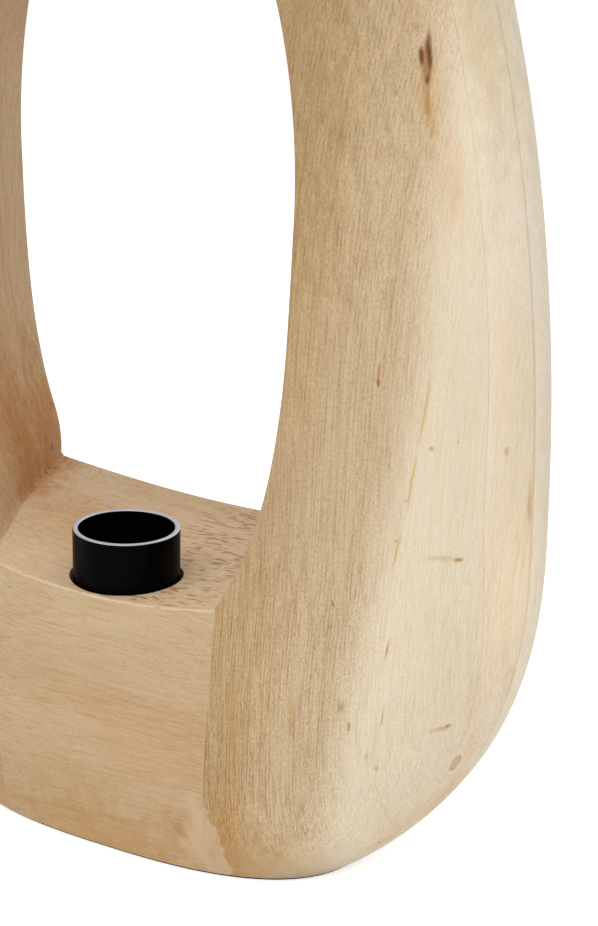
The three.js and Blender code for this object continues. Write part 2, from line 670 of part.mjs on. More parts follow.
function terminal(side) {
  const half = TERMINAL_WIDTH / 2;
  const x = side * TERMINAL_OFFSET;
  const low = CARRIER_Z - TERMINAL_HEIGHT;
  const block = box(x - half, x + half, SOCKET_Y - half, SOCKET_Y + half, low, CARRIER_Z);
  const outside = x + side * (half + CUT_PAST);
  const depth = x - side * TERMINAL_SCREW_RADIUS;
  return cut(block, [barX(TERMINAL_SCREW_RADIUS + PART_GAP, outside, depth, SOCKET_Y, terminalScrewZ())]);
}

function terminalScrewZ() {
  return CARRIER_Z - TERMINAL_HEIGHT / 2;
}

function terminalScrew(side) {
  const face = side * (TERMINAL_OFFSET + TERMINAL_WIDTH / 2);
  const tip = side * TERMINAL_OFFSET;
  const z = terminalScrewZ();
  const shank = barX(TERMINAL_SCREW_RADIUS, face, tip, SOCKET_Y, z, ROUND_SMALL);
  const headEnd = face + side * TERMINAL_SCREW_HEAD;
  return join([shank, barX(TERMINAL_SCREW_HEAD_RADIUS, face, headEnd, SOCKET_Y, z, ROUND_SMALL)]);
}

// Nipple, washer and nut

function nipple() {
  const low = NIPPLE_BOTTOM_Z;
  const [outer, inner] = [NIPPLE_RADIUS, NIPPLE_BORE];
  return turned([[inner, low], [outer, low], [outer, NIPPLE_TOP_Z], [inner, NIPPLE_TOP_Z]], ROUND_SMALL);
}

function washer() {
  const inner = NIPPLE_RADIUS + PART_GAP;
  const low = CHAMBER_Z - WASHER;
  return turned([[inner, low], [WASHER_RADIUS, low], [WASHER_RADIUS, CHAMBER_Z], [inner, CHAMBER_Z]]);
}

function nut() {
  const high = CHAMBER_Z - WASHER;
  const hexagon = barZ(NUT_ACROSS_FLATS / Math.sqrt(3), 0, SOCKET_Y, high - NUT, high, 6);
  const past = [high - NUT - CUT_PAST, high + CUT_PAST];
  return cut(hexagon, [barZ(NIPPLE_RADIUS + PART_GAP, 0, SOCKET_Y, ...past)]);
}

// Wiring

// Route of a lead: out of the connector block, down to the nipple's lower end, up through it and
// over to its terminal
function lead(side) {
  const inNipple = (side * LEAD_SPACING) / 2;
  const blockX = (side * BLOCK_WAY_SPACING) / 2;
  const blockZ = CHAMBER_Z - BLOCK_HEIGHT / 2;
  const frontY = BLOCK_Y - BLOCK_LENGTH / 2 - PART_GAP;
  const sag = NIPPLE_BOTTOM_Z - LEAD_SAG;
  const endZ = CARRIER_Z - TERMINAL_HEIGHT - PART_GAP;
  const points = [
    [blockX, frontY, blockZ],
    [blockX, frontY - 6, blockZ],
    [lerp(blockX, inNipple, 0.4), lerp(frontY, SOCKET_Y, 0.5), lerp(blockZ, sag, 0.6)],
    [lerp(blockX, inNipple, 0.8), lerp(frontY, SOCKET_Y, 0.8), sag],
    [inNipple, SOCKET_Y + 1, NIPPLE_BOTTOM_Z - 6],
    [inNipple, SOCKET_Y, NIPPLE_BOTTOM_Z - 1],
    [inNipple, SOCKET_Y, lerp(NIPPLE_BOTTOM_Z, NIPPLE_TOP_Z, 0.5)],
    [inNipple, SOCKET_Y, NIPPLE_TOP_Z],
    [lerp(inNipple, side * TERMINAL_OFFSET, 0.5), SOCKET_Y, lerp(NIPPLE_TOP_Z, endZ, 0.5)],
    [side * TERMINAL_OFFSET, SOCKET_Y, endZ - 1],
    [side * TERMINAL_OFFSET, SOCKET_Y, endZ],
  ];
  const path = new THREE.CatmullRomCurve3(points.map((p) => new THREE.Vector3(...p)), false, "centripetal");
  return tubeAlong(path, LEAD_RADIUS, LEAD_SIDES, LEAD_STEPS);
}

function connectorBlock() {
  const [halfX, halfY] = [BLOCK_WIDTH / 2, BLOCK_LENGTH / 2];
  const low = CHAMBER_Z - BLOCK_HEIGHT;
  const body = box(-halfX, halfX, BLOCK_Y - halfY, BLOCK_Y + halfY, low, CHAMBER_Z);
  const screwHole = barZ(BLOCK_SCREW_RADIUS + SCREW_GAP, 0, BLOCK_Y, low - CUT_PAST, CHAMBER_Z + CUT_PAST);
  return cut(body, [screwHole]);
}

function connectorScrew() {
  const low = CHAMBER_Z - BLOCK_HEIGHT;
  const [shank, head] = [BLOCK_SCREW_RADIUS, BLOCK_SCREW_HEAD_RADIUS];
  const faceZ = low - BLOCK_SCREW_HEAD;
  const tipZ = CHAMBER_Z + BLOCK_SCREW_GRIP;
  const section = [[0, faceZ], [head, faceZ], [head, low], [shank, low], [shank, tipZ - shank], [0, tipZ]];
  return turned(section, ROUND_SMALL, 0, BLOCK_Y);
}

function cordBush() {
  const seat = bushSeatY();
  const sleeve = barY(BUSH_RADIUS, 0, CHAMBER_BACK_Y, seat, BUSH_HEIGHT);
  const flange = barY(BUSH_FLANGE_RADIUS, 0, seat, seat + BUSH_FLANGE, BUSH_HEIGHT, ROUND);
  const past = [CHAMBER_BACK_Y - CUT_PAST, seat + BUSH_FLANGE + CUT_PAST];
  return cut(join([sleeve, flange]), [barY(BUSH_BORE, 0, ...past, BUSH_HEIGHT)]);
}

// Assembly

for (const layer of layers) {
  const middle = layer.name === "middle";
  const rearCuts = layer.name === "rear" ? bushCuts() : [];
  const baseHoles = middle ? dowelHoles("base", [-1, 1]) : [];
  const topHoles = middle ? dowelHoles("top", [-1, 1]) : [];
  const baseBoard = cut(baseRail(layer), [...baseCuts(), ...rearCuts, ...baseHoles]);
  addPiece(`base_rail_${layer.name}`, "railWood", baseBoard);
  addPiece(`top_rail_${layer.name}`, "railWood", cut(topRail(layer), topHoles));
  for (const [sideName, side] of [["left", -1], ["right", 1]]) {
    const holes = middle ? [...dowelHoles("base", [side]), ...dowelHoles("top", [side])] : [];
    addPiece(`${sideName}_upright_${layer.name}`, "uprightWood", cut(upright(side, layer), holes));
  }
}

for (const place of dowelPlaces())
  for (const [sideName, side] of [["left", -1], ["right", 1]])
    addPiece(`${place.row}_dowel_${sideName}_${place.k + 1}`, "dowelWood", dowelBar(place, side, 0));

addPiece("foot_felt", "felt", felt());
addPiece("base_cover", "fibreboard", coverPlate());
coverScrewPlaces().forEach(({ x, y }, k) => addPiece(`cover_screw_${k + 1}`, "steel", coverScrew(x, y)));

addPiece("holder_cup", "blackSteel", cup());
addPiece("holder_cap", "blackPlastic", holderCap());
addPiece("holder_skirt", "blackPlastic", holderSkirt());
addPiece("contact_carrier", "ceramic", contactCarrier());
addPiece("screw_shell", "brass", screwShell());
addPiece("centre_contact", "brass", centreContact());
addPiece("contact_spring", "steel", contactSpring());
addPiece("holder_nipple", "steel", nipple());
addPiece("holder_washer", "steel", washer());
addPiece("holder_nut", "steel", nut());

for (const [wire, side] of [["live", -1], ["neutral", 1]]) {
  addPiece(`${wire}_terminal`, "brass", terminal(side));
  addPiece(`${wire}_terminal_screw`, "steel", terminalScrew(side));
  addPiece(`${wire}_lead`, `${wire}Lead`, lead(side));
}

addPiece("connector_block", "clearPlastic", connectorBlock());
addPiece("connector_screw", "steel", connectorScrew());
addPiece("cord_bush", "blackPlastic", cordBush());

export default lamp;
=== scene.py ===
"""Dresses the table lamp: a laminated ring of sanded wood, a black lampholder cup and a felt foot.

Shapes are worked out in millimetres in the lamp's frame (+Z up, front towards -Y, table at z = 0) and put
into the meshes in metres.
"""
import json
from functools import reduce

import bmesh
import bpy
import numpy as np
from mathutils import Euler, Matrix, Vector


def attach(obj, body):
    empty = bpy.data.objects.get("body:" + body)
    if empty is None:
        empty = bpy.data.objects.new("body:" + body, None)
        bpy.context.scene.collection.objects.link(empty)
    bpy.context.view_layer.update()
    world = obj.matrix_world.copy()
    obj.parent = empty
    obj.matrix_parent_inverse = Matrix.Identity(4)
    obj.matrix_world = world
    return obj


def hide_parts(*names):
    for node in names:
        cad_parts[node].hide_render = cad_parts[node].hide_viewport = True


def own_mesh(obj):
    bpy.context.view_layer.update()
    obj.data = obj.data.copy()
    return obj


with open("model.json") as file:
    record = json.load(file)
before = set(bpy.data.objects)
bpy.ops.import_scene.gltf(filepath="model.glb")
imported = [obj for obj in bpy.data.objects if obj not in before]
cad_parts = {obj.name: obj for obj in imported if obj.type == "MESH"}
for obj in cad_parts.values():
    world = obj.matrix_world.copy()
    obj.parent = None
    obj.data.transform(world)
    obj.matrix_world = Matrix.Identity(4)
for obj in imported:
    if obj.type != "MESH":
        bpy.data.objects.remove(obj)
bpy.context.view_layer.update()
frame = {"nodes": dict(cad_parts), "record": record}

MM = 0.001
FAR = 400.0
TINY = 1e-6
HALVINGS = 40
MERGE_DISTANCE = 1e-6
CUT_TOLERANCE = 1e-7
SHARP_ANGLE = np.radians(35)

# Outer form of the ring; heights start at the underside of the wood
FELT = 1.5
RING_HEIGHT = 472.0
WIDEST_HALF_WIDTH = 151.0
WIDEST_HEIGHT = 132.0
FOOT_HALF_WIDTH = 89.6
BASE_HALF_DEPTH = 57.0
RING_HALF_DEPTH = 64.0
FULL_DEPTH_HEIGHT = 240.0
FOOT_TUCK = 5.5
FOOT_ROUND_HEIGHT = 50.0
FOOT_SPARE = 12.0
LOWER_OUTLINE_POWER = 2.14
FOOT_PLAN_POWER = 2.65
ARM_PLAN_POWER = 1.79
ARM_PLAN_HEIGHT = 160.0
CROWN_POWER = 3.3

# Opening of the ring
BAR_HEIGHT = 104.8
BAR_DISH_RADIUS = 340.0
OPENING_HALF_WIDTH = 75.6
OPENING_MIDDLE = 247.0
OPENING_RISE = 146.0
OPENING_FALL = 169.0
OPENING_FALL_POWER = 2.4
OPENING_RIM_DEPTH = 51.0
OPENING_FLARE = 0.268
CORNER_FILLET = 2.0
LEFT_CORNER = 6.5
LEFT_CORNER_RISE = 22.0
LEFT_CORNER_DEPTHS = (-45.0, 5.0)
ARM_RIM_SOFTNESS = 2.2
BAR_RIM_SOFTNESS = 0.9
BAR_RIM_TURN = (0.55, 0.85)

# Grid of the ring: turns round the opening, points along wall, skin and rims, and samples to find them
RING_TURNS = 640
WALL_COUNT = 26
SKIN_COUNT = 96
RIM_COUNT = 5
WALL_SAMPLES = 60
SKIN_SAMPLES = 400

# Boards
RAIL_HALF_LENGTH = 48.5
SEAM_DEPTH = 21.5
SEAM_GAP = 0.07
JOINT_GAP = 0.02
JOINT_MIDDLE = 72.0
JOINT_LEAN = 0.05
JOINT_STRAIGHT = (115.0, 200.0)
FOOT_EDGE = 0.8

# Lampholder, its bore and the wiring chamber with its cover
SOCKET_Y = -34.0
CUP_RIM_Z = 125.5
CUP_HOLE_RADIUS = 5.3
BORE_RADIUS = 21.3
BORE_Z = 44.3
NIPPLE_HOLE_SPAN = (28.0, 46.0)
CHAMBER = ((-14.0, -44.0, -1.0), (14.0, 40.0, 30.0))
COVER_RECESS = ((-21.3, -47.8, -1.0), (21.3, 43.8, 4.5))
SHELL_Z = 80.0
SPRING_LOW_Z = 80.3
SPRING_HIGH_Z = 85.1

# Cord inlet in the back of the foot
BUSH_Z = 16.0
BUSH_START_Y = 40.0
BUSH_FLANGE_RADIUS = 8.5
BUSH_SEAT_CUT = 1.5
INLET_RADIUS = 6.3
INLET_SEAT_RADIUS = 8.8
INLET_SPAN = (38.0, BASE_HALF_DEPTH + 2.0)

# Camera fitted to the photograph: place in metres, turn in radians, lens and sensor in millimetres
CAMERA_SPOT = (0.3516904, -0.5577544, 0.3534645)
CAMERA_TURN = (1.2601104, -0.0245947, 0.4986827)
CAMERA_LENS = 69.978402
CAMERA_SENSOR = 36.0


# Curves and fields

def round_off(share, power):
    """Falls from 1 to 0 on a superellipse: (1 - share^p)^(1/p)."""
    return (1 - np.clip(share, 0, 1) ** power) ** (1 / power)


def ease(value, low, high):
    """Smooth step from 0 at low to 1 at high: 3t^2 - 2t^3."""
    t = np.clip((value - low) / (high - low), 0, 1)
    return t * t * (3 - 2 * t)


def full_turn(count):
    """Evenly spaced angles of a full turn, one to a row."""
    return np.linspace(0, 2 * np.pi, count, endpoint=False)[:, None]


def crossing(low, high, falling):
    """The place between low and high where a falling function passes zero, by halving the span."""
    for _ in range(HALVINGS):
        middle = (low + high) / 2
        above = falling(middle) > 0
        low, high = np.where(above, middle, low), np.where(above, high, middle)
    return (low + high) / 2


def half_width(height):
    """Outline of the ring from the front: two superellipse quarters that meet at the widest height."""
    above = round_off((height - WIDEST_HEIGHT) / (RING_HEIGHT - WIDEST_HEIGHT), 2)
    reach = WIDEST_HEIGHT / round_off(FOOT_HALF_WIDTH / WIDEST_HALF_WIDTH, LOWER_OUTLINE_POWER)
    below = round_off((WIDEST_HEIGHT - height) / reach, LOWER_OUTLINE_POWER)
    return WIDEST_HALF_WIDTH * np.where(height >= WIDEST_HEIGHT, above, below)


def half_depth(height):
    """Outline from the side: an upright base drawn in at the foot, deeper above and closed at the crown."""
    deeper = ease(height, BAR_HEIGHT, FULL_DEPTH_HEIGHT)
    full = BASE_HALF_DEPTH + (RING_HALF_DEPTH - BASE_HALF_DEPTH) * deeper
    tuck = FOOT_TUCK * np.clip(1 - height / FOOT_ROUND_HEIGHT, 0, 1) ** 2
    crown = round_off((height - WIDEST_HEIGHT) / (RING_HEIGHT - WIDEST_HEIGHT), CROWN_POWER)
    return (full - tuck) * crown


def plan_power(height):
    """Fullness of the plan: squarer at the foot, slimmer on the arms."""
    return FOOT_PLAN_POWER + (ARM_PLAN_POWER - FOOT_PLAN_POWER) * ease(height, 0, ARM_PLAN_HEIGHT)


def room_inside(x, depth, height):
    """Above 0 inside the outer form: 1 - (|x|/a)^p - (|y|/b)^p at each height, cut off below the foot."""
    power = plan_power(height)
    across = (np.abs(x) / np.maximum(half_width(height), TINY)) ** power
    along_depth = (np.abs(depth) / np.maximum(half_depth(height), TINY)) ** power
    return np.minimum(1 - across - along_depth, (height + FOOT_SPARE) / FOOT_SPARE)


def opening_reach(turn, depth):
    """Distance from the middle of the opening to its wall, along a ray turned from straight up.

    Above the middle the wall is an ellipse. Below, it is the nearer of the egg's side and the dished bar
    (a parabola), blended over a small fillet. All but the bar widen evenly towards the back. The left corner
    is carved a little further out: by left corner * (1 - height over the bar / rise)^2, which fades out to
    the front.
    """
    across, rise = np.sin(turn), np.cos(turn)
    widen = OPENING_FLARE * (depth + OPENING_RIM_DEPTH)
    fall = OPENING_MIDDLE - BAR_HEIGHT
    carved = LEFT_CORNER * (across < 0) * ease(depth, *LEFT_CORNER_DEPTHS)
    arch = 1 / np.hypot(across / (OPENING_HALF_WIDTH + widen), rise / (OPENING_RISE + widen))

    def side_room(reach):
        side = OPENING_HALF_WIDTH * round_off(-reach * rise / OPENING_FALL, OPENING_FALL_POWER)
        over_bar = reach * rise + fall - (reach * across) ** 2 / (2 * BAR_DISH_RADIUS)
        corner = carved * np.clip(1 - over_bar / LEFT_CORNER_RISE, 0, 1) ** 2
        return side + widen + corner - reach * np.abs(across)

    side = crossing(np.zeros_like(arch), np.full_like(arch, FAR), side_room)
    bend = 2 * across**2 * fall / BAR_DISH_RADIUS
    bar = 2 * fall / (np.sqrt(rise**2 + bend) - rise + TINY)
    near = np.clip(1 - np.abs(side - bar) / CORNER_FILLET, 0, 1)
    lower = np.minimum(side, bar) - CORNER_FILLET / 4 * near**2
    return np.where(rise > 0, arch, lower)


def rim_depth(turn, side):
    """Depth of the front (-1) or back (1) rim, where the opening's wall meets the outer form."""
    def room(depth):
        reach = opening_reach(turn, side * depth)
        return room_inside(reach * np.sin(turn), side * depth, OPENING_MIDDLE + reach * np.cos(turn))

    start = np.zeros_like(turn)
    return side * crossing(start, start + RING_HALF_DEPTH, room)


def along(points, places):
    """Points at given distances along each row of a grid of points, between neighbours on a straight line."""
    steps = np.linalg.norm(np.diff(points, axis=1), axis=2)
    way = np.concatenate([np.zeros((len(points), 1)), np.cumsum(steps, axis=1)], axis=1)
    before = (way[:, None, :] <= places[:, :, None]).sum(axis=2) - 1
    before = np.clip(before, 0, points.shape[1] - 2)
    low = np.take_along_axis(way, before, axis=1)
    step = np.take_along_axis(steps, before, axis=1)
    share = ((places - low) / np.maximum(step, TINY))[..., None]
    first = np.take_along_axis(points, before[..., None], axis=1)
    second = np.take_along_axis(points, before[..., None] + 1, axis=1)
    return first + (second - first) * share


def stretch_between(points, margin, count):
    """Evenly spaced points along each row, leaving out a margin at both ends."""
    length = np.linalg.norm(np.diff(points, axis=1), axis=2).sum(axis=1, keepdims=True)
    return along(points, margin + (length - 2 * margin) * np.linspace(0, 1, count))


def bend_over(start, corner, end, t):
    """Soft corner: the quadratic curve (1-t)^2 start + 2t(1-t) corner + t^2 end."""
    t = t[None, :, None]
    return (1 - t) ** 2 * start + 2 * t * (1 - t) * corner + t**2 * end


def ring_grid():
    """The ring's surface as a grid: turn round the opening, then round the section at that turn.

    A section runs along the opening's wall from front to back, round the softened back rim, over the outer
    skin and round the softened front rim. The skin is found on rays from the middle of the wall.
    """
    turn = full_turn(RING_TURNS)
    front, back = rim_depth(turn, -1), rim_depth(turn, 1)
    depth = front + (back - front) * np.linspace(0, 1, WALL_SAMPLES)
    wall = np.stack([opening_reach(turn, depth), depth], axis=2)
    pivot = opening_reach(turn, np.zeros_like(turn))
    start = np.arctan2(wall[:, -1:, 1], wall[:, -1:, 0] - pivot)
    end = np.arctan2(wall[:, :1, 1], wall[:, :1, 0] - pivot)
    bearing = start + (end - start) * np.linspace(0, 1, SKIN_SAMPLES)

    def room(run):
        reach = pivot + run * np.cos(bearing)
        height = OPENING_MIDDLE + reach * np.cos(turn)
        return room_inside(reach * np.sin(turn), run * np.sin(bearing), height)

    run = crossing(np.zeros_like(bearing), np.full_like(bearing, FAR), room)
    skin = np.stack([pivot + run * np.cos(bearing), run * np.sin(bearing)], axis=2)
    down = ease(-np.cos(turn), *BAR_RIM_TURN)
    margin = ARM_RIM_SOFTNESS + (BAR_RIM_SOFTNESS - ARM_RIM_SOFTNESS) * down
    soft_wall = stretch_between(wall, margin, WALL_COUNT)
    soft_skin = stretch_between(skin, margin, SKIN_COUNT)
    t = np.linspace(0, 1, RIM_COUNT + 2)[1:-1]
    back_rim = bend_over(soft_wall[:, -1:], wall[:, -1:], soft_skin[:, :1], t)
    front_rim = bend_over(soft_skin[:, -1:], wall[:, :1], soft_wall[:, :1], t)
    section = np.concatenate([soft_wall, back_rim, soft_skin, front_rim], axis=1)
    x = section[..., 0] * np.sin(turn)
    z = FELT + OPENING_MIDDLE + section[..., 0] * np.cos(turn)
    return np.stack([x, section[..., 1], z], axis=2)


# Meshes

def grid_faces(rows, columns, wrap_rows, wrap_columns):
    """Corner numbers of the quads of a grid, closed on itself where asked."""
    u = np.arange(rows if wrap_rows else rows - 1)[:, None]
    v = np.arange(columns if wrap_columns else columns - 1)[None, :]
    u_next, v_next = (u + 1) % rows, (v + 1) % columns
    corners = [u * columns + v, u * columns + v_next, u_next * columns + v_next, u_next * columns + v]
    return np.stack([c.ravel() for c in corners], axis=1)


def grid_mesh(name, points, wrap_rows=False, wrap_columns=False):
    """A mesh from a grid of points in millimetres, with doubled points merged and faces outwards."""
    mesh = bpy.data.meshes.new(name)
    faces = grid_faces(points.shape[0], points.shape[1], wrap_rows, wrap_columns)
    mesh.from_pydata((points.reshape(-1, 3) * MM).tolist(), [], faces.tolist())
    work = bmesh.new()
    work.from_mesh(mesh)
    bmesh.ops.remove_doubles(work, verts=work.verts, dist=MERGE_DISTANCE)
    bmesh.ops.recalc_face_normals(work, faces=work.faces)
    work.to_mesh(mesh)
    work.free()
    return mesh


def show(name, data):
    """Links a new object at the origin."""
    thing = bpy.data.objects.new(name, data)
    bpy.context.scene.collection.objects.link(thing)
    return thing


def dress(piece, material):
    piece.data.materials.clear()
    piece.data.materials.append(material)


def place(mesh, body, node):
    """Puts a mesh into the scene as a piece that rides on a body and stands for a CAD node."""
    mesh.shade_smooth()
    mesh.set_sharp_from_angle(angle=SHARP_ANGLE)
    piece = show(mesh.name, mesh)
    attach(piece, body)
    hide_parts(node)
    return piece


def softened(corners, radius, count):
    """A closed outline whose corners are quadratic curves that start and end at a radius from the corner."""
    corners = np.asarray(corners, float)
    longest_share = 0.45

    def towards(neighbours):
        side = neighbours - corners
        length = np.linalg.norm(side, axis=1, keepdims=True)
        return (corners + side / length * np.minimum(radius, length * longest_share))[:, None]

    start, end = towards(np.roll(corners, 1, axis=0)), towards(np.roll(corners, -1, axis=0))
    return bend_over(start, corners[:, None], end, np.linspace(0, 1, count)).reshape(-1, 2)


def turned(name, outline, sides=96, axis="z", closed=True):
    """A turned piece: an outline of (radius, place on the axis) carried round a circle.

    The axis is the socket's, upright, or the cord inlet's, along the depth. An open outline starts and
    ends on the axis.
    """
    angle = full_turn(sides)
    radius, way = outline[None, :, 0], outline[None, :, 1] + 0 * angle
    first, second = radius * np.cos(angle), radius * np.sin(angle)
    upright = [first, SOCKET_Y + second, way]
    lying = [first, way, BUSH_Z + second]
    points = np.stack(upright if axis == "z" else lying, axis=2)
    return grid_mesh(name, points, wrap_rows=True, wrap_columns=closed)


# Boards of the ring

def cut_board(name, ring, planes):
    """A board: a copy of the ring cut at planes, each closed with a flat face. Foot edges are marked."""
    work = bmesh.new()
    work.from_mesh(ring)
    marks = work.edges.layers.float
    softness = marks.get("bevel_weight_edge") or marks.new("bevel_weight_edge")
    for point, outward in planes:
        parts = [*work.verts, *work.edges, *work.faces]
        cut = bmesh.ops.bisect_plane(
            work, geom=parts, dist=CUT_TOLERANCE, plane_co=point, plane_no=outward, clear_outer=True
        )
        edges = [part for part in cut["geom_cut"] if isinstance(part, bmesh.types.BMEdge)]
        bmesh.ops.triangle_fill(work, use_beauty=True, edges=edges, normal=outward)
        if outward[2] < 0:
            for edge in edges:
                edge[softness] = 1.0
    bmesh.ops.recalc_face_normals(work, faces=work.faces)
    mesh = bpy.data.meshes.new(name)
    work.to_mesh(mesh)
    work.free()
    return mesh


def layer_planes(layer):
    """Seam planes of the front, middle or rear layer. A glue line stays open on both sides of a seam."""
    inner, outer = (SEAM_DEPTH - SEAM_GAP) * MM, (SEAM_DEPTH + SEAM_GAP) * MM
    return {
        "front": [((0, -outer, 0), (0, 1, 0))],
        "middle": [((0, -inner, 0), (0, -1, 0)), ((0, inner, 0), (0, 1, 0))],
        "rear": [((0, outer, 0), (0, -1, 0))],
    }[layer]


def joint_plane(side, gap, outwards):
    """Plane of the joint between rail and upright at the left (-1) or right (1)."""
    turn = side if outwards else -side
    return (side * (RAIL_HALF_LENGTH + gap) * MM, 0, 0), (turn, 0, 0)


def lean_joints(mesh, way):
    """Moves the points in x so that the joints of the foot stand a little out of square, or back (way -1).

    x is multiplied by (1 + lean * (z - middle) / rail half length) ^ way, which fades out above the bar.
    """
    points = np.empty(3 * len(mesh.vertices), np.float32)
    mesh.vertices.foreach_get("co", points)
    points = points.reshape(-1, 3).astype(float)
    height = points[:, 2] / MM
    lean = JOINT_LEAN * (height - JOINT_MIDDLE) * (1 - ease(height, *JOINT_STRAIGHT))
    points[:, 0] *= (1 + lean / RAIL_HALF_LENGTH) ** way
    mesh.vertices.foreach_set("co", points.ravel().astype(np.float32))
    mesh.update()


def ring_boards():
    """The twelve boards: uprights left and right, rails at foot and crown, in three layers."""
    ring = grid_mesh("ring_form", ring_grid(), wrap_rows=True, wrap_columns=True)
    lean_joints(ring, -1)
    foot = ((0, 0, FELT * MM), (0, 0, -1))
    middle = (0, 0, (FELT + OPENING_MIDDLE) * MM)
    above, below = (middle, (0, 0, -1)), (middle, (0, 0, 1))
    rail_ends = [joint_plane(-1, -JOINT_GAP, True), joint_plane(1, -JOINT_GAP, True)]
    spans = {
        "left_upright": [joint_plane(-1, JOINT_GAP, False), foot],
        "right_upright": [joint_plane(1, JOINT_GAP, False), foot],
        "base_rail": [below, *rail_ends, foot],
        "top_rail": [above, *rail_ends],
    }
    boards = {}
    for span, cuts in spans.items():
        rough = cut_board(f"{span}_rough", ring, cuts)
        for layer in ("front", "middle", "rear"):
            node = f"{span}_{layer}"
            boards[node] = cut_board(f"{node}_board", rough, layer_planes(layer))
            lean_joints(boards[node], 1)
        bpy.data.meshes.remove(rough)
    bpy.data.meshes.remove(ring)
    return boards


# Lampholder, foot and cord inlet

def disc_cutter(name, radius, low, high, axis="z"):
    """A round cutter on the socket's axis, or on the cord inlet's axis along the depth."""
    outline = np.array([(0, low), (radius, low), (radius, high), (0, high)], float)
    return turned(name, outline, closed=False, axis=axis)


def block_cutter(name, low, high):
    """A square-edged cutter between two corners: a rectangle carried up, with closed ends."""
    low, high = np.asarray(low), np.asarray(high)
    side_x = np.array([-1, 1, 1, -1])[:, None]
    side_y = np.array([-1, -1, 1, 1])[:, None]
    spread = np.array([0, 1, 1, 0])[None, :]
    level = np.array([0, 0, 1, 1])[None, :]
    middle, half = (low + high) / 2, (high - low) / 2
    x = middle[0] + half[0] * side_x * spread
    y = middle[1] + half[1] * side_y * spread
    z = low[2] + (high[2] - low[2]) * level + 0 * x
    return grid_mesh(name, np.stack([x, y, z], axis=2), wrap_rows=True)


def bush_seat():
    """Depth of the flat seat that is cut into the back of the foot for the cord bush."""
    height = np.array(BUSH_Z - FELT)
    back = half_depth(height) * round_off(BUSH_FLANGE_RADIUS / half_width(height), plan_power(height))
    return float(back) - BUSH_SEAT_CUT


def carve(piece, cutters):
    """Takes closed cutters out of a piece."""
    helpers = [show(mesh.name, mesh) for mesh in cutters]
    for helper in helpers:
        cut = piece.modifiers.new(helper.name, "BOOLEAN")
        cut.object = helper
        cut.solver = "MANIFOLD"
    graph = bpy.context.evaluated_depsgraph_get()
    carved = bpy.data.meshes.new_from_object(piece.evaluated_get(graph))
    piece.modifiers.clear()
    piece.data = carved
    carved.set_sharp_from_angle(angle=SHARP_ANGLE)
    for helper in helpers:
        bpy.data.meshes.remove(helper.data)


def base_cutters(layer):
    """What is cut out of a foot board: chamber and cover recess, and the cup's holes or the cord inlet."""
    below = [block_cutter("chamber", *CHAMBER), block_cutter("recess", *COVER_RECESS)]
    if layer == "rear":
        hole = disc_cutter("inlet_hole", INLET_RADIUS, *INLET_SPAN, axis="y")
        seat = disc_cutter("inlet_seat", INLET_SEAT_RADIUS, bush_seat(), INLET_SPAN[1], axis="y")
        return [*below, hole, seat]
    bore = disc_cutter("cup_bore", BORE_RADIUS, BORE_Z, CUP_RIM_Z)
    return [bore, disc_cutter("nipple_hole", CUP_HOLE_RADIUS, *NIPPLE_HOLE_SPAN), *below]


def drawn_cup():
    """Black cup: the outline of its thin wall and floor, with softened corners, turned upright."""
    outer, wall, hole = 20.0, 2.0, CUP_HOLE_RADIUS
    low, rim = BORE_Z, CUP_RIM_Z
    inner, floor_top = outer - wall, low + wall
    corners = [(hole, low), (outer, low), (outer, rim), (inner, rim), (inner, floor_top), (hole, floor_top)]
    return turned("cup_drawn", softened(corners, radius=0.4, count=5), sides=160)


def moulded_skirt():
    """Sleeve of the lampholder with a lip over the screw shell: an outline with softened corners, turned."""
    outer, inner, lip = 16.5, 14.5, 13.7
    low, lip_z, top = SHELL_Z, 108.0, 112.0
    corners = [(inner, low), (outer, low), (outer, top), (lip, top), (lip, lip_z), (inner, lip_z)]
    return turned("skirt_moulded", softened(corners, radius=0.5, count=5), sides=128)


def rolled_shell():
    """Screw shell: radius = mean -+ half the wall + wave, with the wave cos(2 pi z / pitch - angle)."""
    mean, half_wall, height = 13.1, 0.25, 27.7
    thread, pitch, plain_end = 0.5, 3.62, 0.1
    sides, rows = 128, 110
    angle = full_turn(sides)
    share = np.linspace(0, 1, rows)[None, :]
    z = SHELL_Z + height * share + 0 * angle
    fade = ease(np.minimum(share, 1 - share), 0, plain_end)
    wave = thread * fade * np.cos(2 * np.pi * z / pitch - angle)
    radius = np.concatenate([mean - half_wall + wave, (mean + half_wall + wave)[:, ::-1]], axis=1)
    heights = np.concatenate([z, z[:, ::-1]], axis=1)
    points = np.stack([radius * np.cos(angle), SOCKET_Y + radius * np.sin(angle), heights], axis=2)
    return grid_mesh("shell_rolled", points, wrap_rows=True, wrap_columns=True)


def turned_contact():
    """Sprung centre contact: clip, stem and a domed head whose edge follows a quarter of an ellipse."""
    head, dome_z, dome_rise = 4.0, 86.0, 1.4
    stem, under_head = 1.8, 85.4
    clip, low, high, soft = 3.0, 68.5, 69.7, 0.2
    dome_steps = 12
    tail = [(0, low), (clip - soft, low), (clip, low + soft), (clip, high - soft), (clip - soft, high)]
    shank = [(stem, high), (stem, under_head), (head - soft, under_head)]
    bow = np.linspace(0, np.pi / 2, dome_steps)
    dome = np.stack([head * np.cos(bow), dome_z + dome_rise * np.sin(bow)], axis=1)
    return turned("contact_turned", np.concatenate([tail, shank, dome]), sides=64, closed=False)


